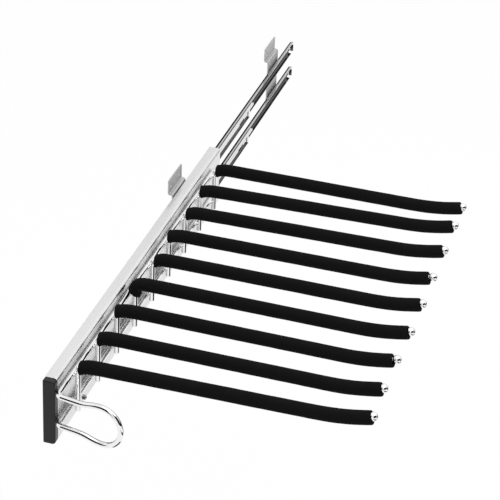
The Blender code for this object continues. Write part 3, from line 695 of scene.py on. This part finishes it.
def rolled_steel(slot):
    """Bright rolled steel with painted shade, a dark colour, in the raceways where the balls run and on faces
    that face the front.
    """
    finish = drawn_metal(slot, roughness=0.10, spread_by=0.03, streak_scale=1400, depth=0.000001)
    # Lays the painted shade in the lower raceways and on faces that face the front
    finish.cover(raceway_shade_mask(finish.tree), bpy.context.scene.hanger_finishes.raceway_shade)
    return finish


def zinc_sheet(slot):
    """Dull plated sheet with soft spangle."""
    finish = Finish(slot, roughness=0.42, metallic=1)
    finish.gloss(finish.cells(scale=260), low=0.34, high=0.50, start=0.1, end=0.8)
    finish.shade(finish.noise(scale=120, detail=4), dark=0.86, light=1.10)
    finish.emboss(finish.noise(scale=2600, detail=2), depth=0.00002)
    return finish


def moulded_plastic(slot, roughness, spread_by, grain_depth, specular):
    """Moulded plastic with a fine grain and slightly uneven gloss."""
    finish = Finish(slot, roughness, metallic=0, specular=specular)
    cloud = finish.noise(scale=140, detail=3)
    finish.gloss(cloud, roughness - spread_by, roughness + spread_by)
    finish.shade(cloud, dark=0.88, light=1.12)
    finish.emboss(finish.noise(scale=3600, detail=2), grain_depth)
    return finish


def black_moulding(slot):
    return moulded_plastic(slot, roughness=0.26, spread_by=0.06, grain_depth=0.00002, specular=0.30)


def pale_moulding(slot):
    return moulded_plastic(slot, roughness=0.40, spread_by=0.06, grain_depth=0.00001, specular=0.50)


def foam_skin(slot):
    """Fine-celled foam: small pores, soft mottling and almost no gloss."""
    finish = Finish(slot, roughness=0.88, metallic=0, specular=0.10)
    mottle = finish.noise(scale=90, detail=4)
    finish.gloss(mottle, low=0.80, high=0.96)
    finish.shade(mottle, dark=0.70, light=1.35)
    finish.emboss(finish.noise(scale=700, detail=3), depth=0.00015)
    finish.emboss(finish.cells(scale=1500), depth=0.00012)
    return finish


FINISHES = {
    "chrome": chrome_plate,
    "polished_metal": polished_aluminium,
    "zinc_steel": zinc_sheet,
    "slide_steel": rolled_steel,
    # The lighter copy of the rolled steel is painted light for the middle members
    "bright_steel": rolled_steel,
    "black_plastic": black_moulding,
    "pale_plastic": pale_moulding,
    "black_foam": foam_skin,
}


def finish_of(slot):
    return bpy.data.materials.get(f"{slot}_finish") or FINISHES[slot](slot).material


# Places and shapes that several pieces share

def both_levels(stem):
    """Names of an upper and a lower node."""
    return [f"{stem}_{level}" for level in LEVELS]


def box_and_middle(node):
    """Lowest corner, highest corner and middle height of a node."""
    low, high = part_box(node)
    return low, high, (low.z + high.z) / 2


def move_to_axis(obj, node):
    """Moves a piece that was turned about X to the axis of its node."""
    low, high, middle = box_and_middle(node)
    obj.location = (0, (low.y + high.y) / 2, middle)


def make_rivet(sizes, node, two_heads):
    """A rivet with a domed head at its wall end, and at its other end a second head or a flat cut."""
    low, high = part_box(node)
    head, shank, height = sizes.rivet_head / 2, sizes.rivet_shank / 2, sizes.rivet_height
    if two_heads:
        outer = dome(high.x - height, height, head) + [(high.x - height, shank)]
    else:
        outer = [(high.x, 0), (high.x, shank)]
    inner = [(low.x + height, shank)] + dome(low.x + height, -height, head)[::-1]
    obj = turned(outer + inner)
    move_to_axis(obj, node)
    return obj


def rod_line():
    """Distance of the rods from the wall, and the heights of the upper and the lower rod."""
    wires = bpy.context.scene.hanger_wires
    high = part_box("carrier_profile")[1]
    upper = high.z - wires.rod_drop
    return high.x + bpy.context.scene.hanger_carrier.fit + wires.wire / 2, upper, upper - wires.rod_pitch


def post_line(number):
    """Distance of an arm's post from the wall, the arm's place along the carrier and its height."""
    wires = bpy.context.scene.hanger_wires
    low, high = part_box(f"arm_wire_{number}")
    post_x = rod_line()[0] + wires.wire + bpy.context.scene.hanger_carrier.fit
    return post_x, (low.y + high.y) / 2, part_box("carrier_profile")[1].z + bpy.context.scene.hanger_arms.rise


def tip_arc(arms, rise):
    """Radius and angle of an upturned end that rises so far."""
    return (arms.tip_run**2 + rise**2) / (2 * rise), 2 * atan(rise / arms.tip_run)


def arm_heading(arms, number):
    tilt = arms.tilts[number - 1]
    return Vector((cos(tilt), 0, sin(tilt)))


def arm_run(arms, number):
    """Length of an arm from its bend to its upturned end."""
    return arms.reach + arms.further[number - 1] - arms.bend - arms.tip_run


def grow_arm(end, arms, number, turn, rise, stop, steps):
    """Grows a wire or sleeve round an arm's bend, unless the turn is 0, along the arm and up its end."""
    radius, whole = tip_arc(arms, rise)
    bend_steps, run_steps, tip_steps = steps
    if turn:
        end.bend(turn, arms.bend, Y_AXIS, bend_steps)
    end.heading = arm_heading(arms, number)
    end.run(arm_run(arms, number), run_steps)
    end.bend(-(whole - stop / radius), radius, Y_AXIS, tip_steps)


def tip_of(arms, number):
    """Middle of an arm's ball and the heading of the arm there."""
    post_x, y, z = post_line(number)
    along = arm_heading(arms, number)
    up = along.cross(Y_AXIS)
    radius, whole = tip_arc(arms, arms.tip_rise + arms.sag)
    start = Vector((post_x + arms.bend, y, z)) + along * arm_run(arms, number)
    place = start + along * radius * sin(whole) + up * radius * (1 - cos(whole))
    return place, along * cos(whole) + up * sin(whole)


# Operators, one for each piece or group of like pieces

class HANGER_OT_brackets(bpy.types.Operator):
    """Bends the two wall brackets from sheet and drills their screw holes"""

    bl_idname = "hanger.brackets"
    bl_label = "Wall brackets"

    def execute(self, context):
        sizes = context.scene.hanger_brackets
        low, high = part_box("bracket_front")
        half = sizes.sheet / 2
        shelf = -sizes.flange / 2 + half
        plate = high.x - half
        line = [(low.x + half, high.z), (low.x + half, shelf), (plate, shelf), (plate, low.z)]
        obj = bent_sheet(line, low.y, high.y, sizes.bend + half, sizes.sheet)

        def at_corner(ends):
            at_side = near(ends[0].y, low.y) or near(ends[0].y, high.y)
            at_tip = near(ends[0].z, low.z) or near(ends[0].z, high.z)
            return along_x(ends) and at_side and at_tip

        round_edges(obj, sizes.corner, CORNER_STEPS, at_corner)
        for side in (-1, 1):
            place = (half, side * sizes.hole_pitch / 2, 0)
            cut(obj, hole_cutter(sizes.hole, sizes.sheet + 2 * CUT_PAST, place))
        soften(obj, sizes.sheet * EDGE_SHARE)
        finish_copies(obj, "wall_side", "zinc_steel", [f"bracket_{end}" for end in ENDS])
        return {"FINISHED"}


class HANGER_OT_outer_rails(bpy.types.Operator):
    """Rolls the two outer rails, draws out the stop tab at their rear end and cuts the gap before it"""

    bl_idname = "hanger.outer_rails"
    bl_label = "Outer rails"

    def execute(self, context):
        sizes = context.scene.hanger_slides
        low, high, middle = box_and_middle("outer_rail_upper")
        half = sizes.sheet / 2
        web = low.x + half
        inside = web + half
        neck = inside + sizes.sheet
        top, bottom = high.z - half, low.z + half
        foot = bottom + sizes.bend
        tab_front = high.y - sizes.sheet
        line = [(high.x, top), (web, top), (web, bottom), (high.x, bottom)]
        obj = bent_sheet(line, low.y, tab_front, sizes.bend, sizes.sheet)
        # The corners where a bend starts lie a little off its start once the sheet has its thickness
        slack = sizes.bend / 10
        flat = (top - bottom) / 2 - sizes.bend + slack

        def web_end(corners):
            return all(near(p.y, tab_front) and abs(p.z - middle) < flat for p in corners)

        def tab_side(corners):
            return all(near(p.x, inside) and p.y > tab_front - WELD for p in corners)

        def tab_foot(corners):
            past_neck = all(p.x > neck - WELD and p.y > tab_front - WELD for p in corners)
            return past_neck and all(abs(p.z - foot) < slack for p in corners)

        pick(obj, "FACE", web_end)
        drag((0, sizes.sheet, 0))
        leave_edit()
        pick(obj, "FACE", tab_side)
        drag((sizes.sheet, 0, 0))
        drag((high.x - neck, 0, 0))
        leave_edit()
        pick(obj, "FACE", tab_foot)
        drag((0, 0, bottom - foot))
        close_up()
        relief = (inside + half, tab_front - sizes.stop_relief, low.z - CUT_PAST)
        cut(obj, box_between(relief, (high.x + CUT_PAST, tab_front, middle)))
        soften(obj, sizes.sheet * RAIL_EDGE_SHARE)
        finish_copies(obj, "wall_side", "slide_steel", both_levels("outer_rail"))
        return {"FINISHED"}


class HANGER_OT_rail_rivets(bpy.types.Operator):
    """Turns the rivets that hold the outer rails to the brackets, with a dome at each end"""

    bl_idname = "hanger.rail_rivets"
    bl_label = "Rail rivets"

    def execute(self, context):
        nodes = [f"rail_rivet_{level}_{end}" for level in LEVELS for end in ENDS]
        obj = make_rivet(context.scene.hanger_slides, nodes[0], two_heads=True)
        finish_copies(obj, "wall_side", "slide_steel", nodes)
        return {"FINISHED"}


class HANGER_OT_middle_members(bpy.types.Operator):
    """Rolls the two middle members: runners on one side, a channel on the other, a window and a rear cut"""

    bl_idname = "hanger.middle_members"
    bl_label = "Middle members"

    def execute(self, context):
        sizes = context.scene.hanger_slides
        low, high, middle = box_and_middle("middle_member_upper")
        sheet = sizes.sheet
        half = high.z - middle
        runner = sizes.runner_height / 2
        web = low.x + sizes.runner_depth
        upper = [
            (web + sheet, half - sheet), (high.x, half - sheet), (high.x, half), (web, half),
            (web, runner), (low.x, runner), (low.x, runner - sheet), (web, runner - sheet),
        ]
        outline = mirrored(upper, middle, high.x - sizes.short)
        shoulders = [(web, middle + side * half) for side in (-1, 1)]
        obj = rolled_bar(outline, low.y, high.y, sizes.corner, shoulders, sizes.shoulder)
        cut(obj, self.window_cutter(sizes, web, high.y, middle))
        gone = (low.x - CUT_PAST, high.y - sizes.cut_back, low.z - CUT_PAST)
        cut(obj, box_between(gone, (high.x + CUT_PAST, high.y + CUT_PAST, middle + sizes.cut_height)))
        soften(obj, sheet * EDGE_SHARE)
        nodes = both_levels("middle_member")
        # The middle members take the lighter copy of the slide steel, which is painted light
        finish_copies(obj, "middle_slide", "slide_steel", nodes, finish="bright_steel")
        return {"FINISHED"}

    def window_cutter(self, sizes, web, rear, middle):
        """An oblong block with round ends that goes through the web."""
        centre = Vector((web + sizes.sheet / 2, rear - sizes.window_from_end, middle - sizes.window_drop))
        corner = Vector((sizes.sheet / 2 + CUT_PAST, sizes.window_length / 2, sizes.window_height / 2))
        block = box_between(centre - corner, centre + corner)
        return round_edges(block, sizes.window_height * ROUND_END_SHARE, CORNER_STEPS, along_x)


class HANGER_OT_bumpers(bpy.types.Operator):
    """Moulds the stops in the rear ends of the middle members"""

    bl_idname = "hanger.bumpers"
    bl_label = "Slide bumpers"

    def execute(self, context):
        sizes = context.scene.hanger_slides
        low, high, middle = box_and_middle("slide_bumper_upper")
        tongue = low.y + sizes.bumper_tongue
        outside, rear, under = high.x + CUT_PAST, high.y + CUT_PAST, low.z - CUT_PAST
        lip = high.z - sizes.bumper_lip
        foot = middle + sizes.cut_height
        obj = box_between(low, (low.x + sizes.bumper_depth, high.y, high.z))
        cut(obj, box_between((low.x + sizes.bumper_wall, low.y - CUT_PAST, under), (outside, rear, lip)))
        cut(obj, box_between((low.x - CUT_PAST, tongue, under), (outside, rear, foot)))
        soften(obj, sizes.bumper_edge, EDGE_STEPS)
        finish_copies(obj, "middle_slide", "pale_plastic", both_levels("slide_bumper"))
        return {"FINISHED"}


class HANGER_OT_ball_cages(bpy.types.Operator):
    """Bends the cages' strips and sets their two rows of balls"""

    bl_idname = "hanger.ball_cages"
    bl_label = "Ball cages"

    def execute(self, context):
        for kind in ("outer", "inner"):
            nodes = both_levels(f"{kind}_cage")
            obj = self.make(context.scene.hanger_slides, nodes[0])
            finish_copies(obj, f"{kind}_cages", "slide_steel", nodes)
        return {"FINISHED"}

    def make(self, sizes, node):
        low, high, middle = box_and_middle(node)
        strip = low.x + sizes.cage_sheet / 2
        row = (high.z - low.z) / 2 - sizes.ball / 2
        edge = low.x + sizes.cage_depth
        line = [(edge, middle + row), (strip, middle + row), (strip, middle - row), (edge, middle - row)]
        obj = bent_sheet(line, low.y, high.y, sizes.cage_sheet, sizes.cage_sheet)
        soften(obj, sizes.cage_sheet * EDGE_SHARE, steps=1)
        pitch = (high.y - low.y) / sizes.ball_rows
        places = [
            Vector(((low.x + sizes.cage_sheet + edge) / 2, low.y + pitch * (i + 1 / 2), middle + side * row))
            for i in range(sizes.ball_rows)
            for side in (-1, 1)
        ]
        balls = copies_of(bead(sizes.ball, sizes.ball), len(places))
        for ball, place in zip(balls, places):
            ball.location = place
        join(obj, balls)
        return obj


class HANGER_OT_inner_rails(bpy.types.Operator):
    """Rolls the two inner rails that sit inside the carrier"""

    bl_idname = "hanger.inner_rails"
    bl_label = "Inner rails"

    def execute(self, context):
        sizes = context.scene.hanger_slides
        low, high, middle = box_and_middle("inner_rail_upper")
        web = high.z - middle
        runner = sizes.runner_height / 2
        face = high.x - sizes.sheet
        upper = [
            (high.x, web), (face, web), (face, runner),
            (low.x, runner), (low.x, runner - sizes.sheet), (face, runner - sizes.sheet),
        ]
        obj = rolled_bar(mirrored(upper, middle, high.x), low.y, high.y, sizes.corner)
        soften(obj, sizes.sheet * EDGE_SHARE)
        finish_copies(obj, "carrier", "slide_steel", both_levels("inner_rail"))
        return {"FINISHED"}


class HANGER_OT_inner_rivets(bpy.types.Operator):
    """Turns the domed rivets that hold the inner rails to the carrier"""

    bl_idname = "hanger.inner_rivets"
    bl_label = "Inner rivets"

    def execute(self, context):
        nodes = [f"inner_rivet_{level}_{number}" for level in LEVELS for number in (1, 2)]
        obj = make_rivet(context.scene.hanger_slides, nodes[0], two_heads=False)
        finish_copies(obj, "carrier", "slide_steel", nodes)
        return {"FINISHED"}


class HANGER_OT_carrier(bpy.types.Operator):
    """Draws the carrier's tall channel with its rounded arm-side corners"""

    bl_idname = "hanger.carrier"
    bl_label = "Carrier"

    def execute(self, context):
        sizes = context.scene.hanger_carrier
        low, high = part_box("carrier_profile")
        half = sizes.wall / 2
        web = high.x - half
        top, bottom = high.z - half, low.z + half
        line = [(low.x, top), (web, top), (web, bottom), (low.x, bottom)]
        obj = bent_sheet(line, low.y, high.y, sizes.corner - half, sizes.wall)
        soften(obj, sizes.wall * EDGE_SHARE)
        finish_piece(obj, "finished_carrier", "carrier", "polished_metal", "carrier_profile")
        return {"FINISHED"}


class HANGER_OT_end_cap(bpy.types.Operator):
    """Moulds the black end cap and the plug that holds it in the carrier"""

    bl_idname = "hanger.end_cap"
    bl_label = "End cap"

    def execute(self, context):
        sizes = context.scene.hanger_carrier
        low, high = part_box("front_cap")
        rear = low.y + sizes.cap_depth
        obj = box_between(low, (high.x, rear, high.z))
        pick(obj, "FACE", lambda corners: all(near(p.y, rear) for p in corners))
        bpy.ops.mesh.inset(thickness=sizes.corner)
        drag((0, high.y - rear, 0))
        leave_edit()
        round_edges(obj, sizes.corner, CORNER_STEPS, lambda ends: along_y(ends) and near(ends[0].x, high.x))
        soften(obj, sizes.cap_edge, EDGE_STEPS)
        finish_piece(obj, "finished_end_cap", "carrier", "black_plastic", "front_cap")
        return {"FINISHED"}


class HANGER_OT_carrier_screw(bpy.types.Operator):
    """Turns the pan-head screw in the carrier's side and cuts its cross recess"""

    bl_idname = "hanger.carrier_screw"
    bl_label = "Carrier screw"

    def execute(self, context):
        sizes = context.scene.hanger_carrier
        low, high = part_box("carrier_screw")
        seat = high.x - sizes.screw_height
        head, shank = sizes.screw_head / 2, sizes.screw_shank / 2
        # The lowest third of the head is straight, and the rest is domed
        straight = sizes.screw_height / 3
        crown = dome(seat + straight, sizes.screw_height - straight, head)
        obj = turned(crown + [(seat, head), (seat, shank), (low.x, shank), (low.x, 0)])
        floor = Vector((high.x - sizes.recess_depth, 0, 0))
        through = X_AXIS * (sizes.recess_depth + CUT_PAST)
        reach, width = sizes.recess_reach, sizes.recess_width
        for wide, tall in ((reach, width), (width, reach)):
            corner = Vector((0, wide / 2, tall / 2))
            cut(obj, box_between(floor - corner, floor + corner + through))
        move_to_axis(obj, "carrier_screw")
        finish_piece(obj, "finished_carrier_screw", "carrier", "slide_steel", "carrier_screw")
        return {"FINISHED"}


class HANGER_OT_wire_frame(bpy.types.Operator):
    """Bends one wire into the upper rod, the loop handle and the lower rod"""

    bl_idname = "hanger.wire_frame"
    bl_label = "Wire frame"

    def execute(self, context):
        sizes = context.scene.hanger_wires
        rod_x, upper, _ = rod_line()
        rear = post_line(ARM_NUMBERS[-1])[1] + sizes.rod_tail
        corner_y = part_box("front_cap")[0].y - sizes.lead
        turn = pi / 2 - sizes.lean
        tangent = sizes.front_bend * tan(turn / 2)
        loop, leg = sizes.loop / 2, sizes.rod_pitch / 2
        flare_run = sizes.reach - loop - sizes.flare_start
        flare_turn = 2 * atan((loop - leg) / flare_run)
        flare_radius = flare_run / 2 / sin(flare_turn)
        flare = [(side * flare_turn, flare_radius, FLARE_STEPS) for side in (1, -1)]
        outward = Vector((cos(sizes.lean), -sin(sizes.lean), 0))
        across = outward.cross(Z_AXIS)
        rod = rear - corner_y - tangent
        straight = sizes.flare_start - tangent
        end = WireEnd((rod_x, rear, upper), -Y_AXIS, sizes.wire, WIRE_SIDES)
        end.run(rod, RUN_STEPS)
        end.bend(turn, sizes.front_bend, Z_AXIS, BEND_STEPS)
        end.run(straight)
        for part, radius, steps in (*flare, (-pi, loop, LOOP_STEPS), *reversed(flare)):
            end.bend(part, radius, across, steps)
        end.run(straight)
        end.bend(-turn, sizes.front_bend, Z_AXIS, BEND_STEPS)
        end.run(rod, RUN_STEPS)
        obj = close_up()
        soften(obj, sizes.end_edge, EDGE_STEPS)
        finish_piece(obj, "finished_wire_frame", "carrier", "chrome", "wire_frame")
        return {"FINISHED"}


class HANGER_OT_arm_wires(bpy.types.Operator):
    """Bends each arm from one wire and welds its post to the two rods"""

    bl_idname = "hanger.arm_wires"
    bl_label = "Arm wires"

    def execute(self, context):
        for number in ARM_NUMBERS:
            self.make(context.scene.hanger_arms, context.scene.hanger_wires, number)
        return {"FINISHED"}

    def make(self, arms, wires, number):
        node = f"arm_wire_{number}"
        post_x, y, z = post_line(number)
        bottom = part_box(node)[0].z
        end = WireEnd((post_x, y, bottom), Z_AXIS, wires.wire, WIRE_SIDES)
        end.run(z - arms.bend - bottom)
        grow_arm(end, arms, number, pi / 2, arms.tip_rise + arms.sag, 0, (BEND_STEPS, 1, TIP_STEPS))
        obj = close_up()
        soften(obj, wires.end_edge, EDGE_STEPS)
        rod_x, *heights = rod_line()
        welds = copies_of(bead(arms.weld, arms.weld_depth), len(heights))
        for weld, height in zip(welds, heights):
            weld.location = ((rod_x + post_x) / 2, y, height)
        join(obj, welds)
        finish_piece(obj, f"finished_{node}", "carrier", "chrome", node)


class HANGER_OT_sleeves(bpy.types.Operator):
    """Makes the foam sleeves: soft tubes with rounded rims that swell and dip a little"""

    bl_idname = "hanger.sleeves"
    bl_label = "Foam sleeves"

    def execute(self, context):
        arms = context.scene.hanger_arms
        clouds = bpy.data.textures.new("foam_swells", "CLOUDS")
        clouds.noise_scale = arms.swell
        for number in ARM_NUMBERS:
            self.make(arms, number, clouds)
        return {"FINISHED"}

    def make(self, arms, number, clouds):
        node = f"foam_sleeve_{number}"
        post_x, y, z = post_line(number)
        elbow = Vector((post_x + arms.bend, y, z))
        # The cage is a little wider than the sleeve, because subdivision draws its sides in
        cage = arms.sleeve / (2 / 3 + cos(2 * pi / SLEEVE_SIDES) / 3)
        if number == arms.pushed_down:
            turn, lean = pi / 2, -arms.slant
            down_post = arms.push - turn * arms.bend
            start = elbow - Vector((arms.bend, 0, arms.bend + down_post))
            end = WireEnd(start, Z_AXIS, cage, SLEEVE_SIDES, "NOTHING")
            end.run(down_post)
        else:
            turn, lean = 0, arms.post_lean
            start = elbow - Vector((arms.bend + arms.sleeve_ends[number - 1], 0, arms.droop))
            end = WireEnd(start, arm_heading(arms, number), cage, SLEEVE_SIDES, "NOTHING")
            end.run(arms.post_edge)
            climb = elbow - end.place
            end.heading = climb.normalized()
            end.run(climb.length)
        stop = arms.sleeve_stops[number - 1] + arms.lip
        steps = (SLEEVE_BEND_STEPS, SLEEVE_RUN_STEPS, SLEEVE_TIP_STEPS)
        grow_arm(end, arms, number, turn, arms.tip_rise, stop, steps)
        end.run(arms.lip)
        obj = close_up()
        self.shape_end(obj, start, cage / 2, lean, arms.post_rim)
        self.shape_end(obj, end.place, cage / 2, arms.tip_lean, arms.tip_rim)
        wall = (arms.sleeve - arms.bore) / 2
        apply_modifier(obj, "SOLIDIFY", thickness=wall, offset=-1, use_even_offset=True)
        apply_modifier(obj, "SUBSURF", levels=SLEEVE_LEVELS, render_levels=SLEEVE_LEVELS)
        apply_modifier(
            obj, "DISPLACE", texture=clouds, texture_coords="LOCAL", strength=arms.unevenness, mid_level=0.5
        )
        finish_piece(obj, f"finished_{node}", "carrier", "black_foam", node)

    def shape_end(self, obj, place, radius, turn, width):
        """Turns the ring at one end of a sleeve about its own middle, and widens or narrows it."""
        pick(obj, "EDGE", lambda ends: all(near((p - place).length, radius) for p in ends))
        bpy.ops.transform.rotate(value=turn, orient_axis="Y", center_override=place)
        bpy.ops.transform.resize(value=(width, width, width), center_override=place)
        leave_edit()


class HANGER_OT_tip_balls(bpy.types.Operator):
    """Turns the bright balls with the blind hole that takes the arm's end"""

    bl_idname = "hanger.tip_balls"
    bl_label = "Tip balls"

    def execute(self, context):
        arms = context.scene.hanger_arms
        model = self.make(arms.ball / 2, context.scene.hanger_wires.wire / 2)
        for ball, number in zip(copies_of(model, len(ARM_NUMBERS)), ARM_NUMBERS):
            node = f"tip_ball_{number}"
            ball.matrix_world = placing(*tip_of(arms, number), "X", "Z")
            finish_piece(ball, f"finished_{node}", "carrier", "chrome", node)
        return {"FINISHED"}

    def make(self, radius, hole):
        whole = pi - atan(hole / (radius**2 - hole**2) ** 0.5)
        ball = [(radius * cos(t), radius * sin(t)) for t in parts_of(whole, TURN_STEPS)]
        return turned(ball + [(0, hole), (0, 0)])


class HANGER_OT_stage(bpy.types.Operator):
    """Sets the pale floor, the white surround, the lamps, the dark cards and the camera"""

    bl_idname = "hanger.stage"
    bl_label = "Studio"

    def execute(self, context):
        studio = context.scene.hanger_studio
        self.lay_floor(studio)
        self.set_surround(context.scene, studio)
        self.set_lamps(studio)
        self.set_cards(studio)
        self.set_camera(context.scene, studio)
        context.scene.view_settings.view_transform = "Standard"
        return {"FINISHED"}

    def floor_height(self, studio):
        return CAD_BOX[0].z - studio.floor_drop

    def seen_directly(self, tree):
        """1 for camera, glossy and transmission rays, and 0 for the others."""
        rays = add_node(tree, "ShaderNodeLightPath", {}).outputs
        seen = calculate(tree, "MAXIMUM", rays["Is Camera Ray"], rays["Is Glossy Ray"])
        return calculate(tree, "MAXIMUM", seen, rays["Is Transmission Ray"])

    def show(self, tree, output, share, lighting, seen):
        """Puts a shader that lights and one that is seen on an output, mixed by a share."""
        mix = add_node(tree, "ShaderNodeMixShader", {"Fac": share, 1: lighting, 2: seen})
        add_node(tree, output, {"Surface": mix.outputs["Shader"]})

    def lay_floor(self, studio):
        deselect()
        place = (0, 0, self.floor_height(studio))
        bpy.ops.mesh.primitive_plane_add(size=studio.floor_size, location=place)
        floor = bpy.context.active_object
        floor.name = "floor"
        material = bpy.data.materials.new("pale_floor")
        material.use_nodes = True
        tree = material.node_tree
        tree.nodes.clear()
        paint = add_node(tree, "ShaderNodeBsdfDiffuse", {"Color": (*studio.floor, 1)}).outputs["BSDF"]
        glow = add_node(tree, "ShaderNodeEmission", {"Color": WHITE, "Strength": 1}).outputs["Emission"]
        share = calculate(tree, "MULTIPLY", self.seen_directly(tree), studio.glow)
        self.show(tree, "ShaderNodeOutputMaterial", share, paint, glow)
        floor.data.materials.append(material)

    def set_surround(self, scene, studio):
        scene.world = bpy.data.worlds.new("white_surround")
        scene.world.use_nodes = True
        tree = scene.world.node_tree
        tree.nodes.clear()
        even, white = (
            add_node(tree, "ShaderNodeBackground", {"Color": WHITE, "Strength": light}).outputs["Background"]
            for light in (studio.ambient, 1)
        )
        self.show(tree, "ShaderNodeOutputWorld", self.seen_directly(tree), even, white)

    def set_lamps(self, studio):
        low, high = CAD_BOX
        for name in ("key", "fill"):
            place = Vector(getattr(studio, f"{name}_place"))
            deselect()
            bpy.ops.object.light_add(type="AREA", location=(low + high) / 2 + place)
            lamp = bpy.context.active_object
            lamp.name = f"{name}_lamp"
            lamp.rotation_euler = place.to_track_quat("Z", "Y").to_euler()
            lamp.data.energy = getattr(studio, name)
            lamp.data.size = getattr(studio, f"{name}_size")
            lamp.visible_glossy = name == "key"

    def set_cards(self, studio):
        """Dark cards, by two corners each, that only glossy surfaces show, so that metal curves read."""
        material = bpy.data.materials.new("dark_flag")
        material.use_nodes = True
        shader = material.node_tree.nodes["Principled BSDF"]
        shader.inputs["Base Color"].default_value = (*studio.dark, 1)
        shader.inputs["Roughness"].default_value = 1
        side, front, back, thick = studio.side, studio.front, studio.back, studio.card
        floor = self.floor_height(studio)
        lying = floor + thick
        above = lying + 2 * thick
        cards = {
            "flag_back_left": ((-side, back, floor), (-0.62, back + 2 * thick, 0.95)),
            "flag_floor_left": ((-side, 0.7, lying), (-0.20, back, lying + thick)),
            "flag_back_right": ((1.6, back, floor), (side, back + 2 * thick, 0.16)),
            "flag_behind_rails": ((0.75, back, floor), (1.18, back + 2 * thick, 0.16)),
            "flag_floor_rails": ((0.6, 1.4, lying), (1.1, back, lying + thick)),
            "flag_by_handle": ((-0.40, -0.77, -0.11), (0.02, -0.76, 0.44)),
            "flag_under_loop": ((0.05, -0.50, above), (0.20, -0.20, above + thick)),
            "flag_behind_loop": ((0.30, 0.06, above), (0.44, 0.16, above + thick)),
            "flag_by_loop": ((0.56, -0.68, above), (0.70, -0.40, above + thick)),
            "flag_front_right": ((0.75, front, -0.1), (side, front + 2 * thick, 2.4)),
            "flag_right": ((side, front, -0.1), (side + 2 * thick, -0.1, 2.4)),
            "flag_on_floor": ((0.46, -1.2, lying), (0.60, 0.3, lying + thick)),
            "flag_floor_right": ((1.02, -0.2, lying), (side, 1.3, lying + thick)),
            "flag_far_right": ((side, -0.1, floor), (side + 2 * thick, back, 0.35)),
        }
        for name, (low, high) in cards.items():
            card = box_between(low, high)
            card.name = name
            card.data.materials.append(material)
            for rays in ("camera", "diffuse", "transmission", "shadow"):
                setattr(card, f"visible_{rays}", False)

    def set_camera(self, scene, studio):
        deselect()
        bpy.ops.object.camera_add()
        camera = bpy.context.active_object
        camera.name = "camera"
        turning = (
            Matrix.Rotation(studio.azimuth, 4, "Z")
            @ Matrix.Rotation(pi / 2 - studio.elevation, 4, "X")
            @ Matrix.Rotation(studio.roll, 4, "Z")
        )
        camera.matrix_world = Matrix.Translation(studio.camera) @ turning
        camera.data.lens = studio.lens
        scene.camera = camera


OPERATORS = (
    HANGER_OT_stage,
    HANGER_OT_brackets,
    HANGER_OT_outer_rails,
    HANGER_OT_rail_rivets,
    HANGER_OT_middle_members,
    HANGER_OT_bumpers,
    HANGER_OT_ball_cages,
    HANGER_OT_inner_rails,
    HANGER_OT_inner_rivets,
    HANGER_OT_carrier,
    HANGER_OT_end_cap,
    HANGER_OT_carrier_screw,
    HANGER_OT_wire_frame,
    HANGER_OT_arm_wires,
    HANGER_OT_sleeves,
    HANGER_OT_tip_balls,
)


class HANGER_PT_panel(bpy.types.Panel):
    """Lists the hanger's operators"""

    bl_idname = "HANGER_PT_panel"
    bl_label = "Trouser hanger"
    bl_space_type = "VIEW_3D"
    bl_region_type = "UI"
    bl_category = "Hanger"

    def draw(self, context):
        for operator in OPERATORS:
            self.layout.operator(operator.bl_idname)


def register():
    for kind in (*SETTINGS.values(), *OPERATORS, HANGER_PT_panel):
        bpy.utils.register_class(kind)
    for name, kind in SETTINGS.items():
        setattr(bpy.types.Scene, name, bpy.props.PointerProperty(type=kind))


def unregister():
    for name in SETTINGS:
        delattr(bpy.types.Scene, name)
    for kind in reversed((*SETTINGS.values(), *OPERATORS, HANGER_PT_panel)):
        bpy.utils.unregister_class(kind)


def main():
    register()
    for operator in OPERATORS:
        group, name = operator.bl_idname.split(".")
        getattr(getattr(bpy.ops, group), name)()


if __name__ == "__main__":
    main()
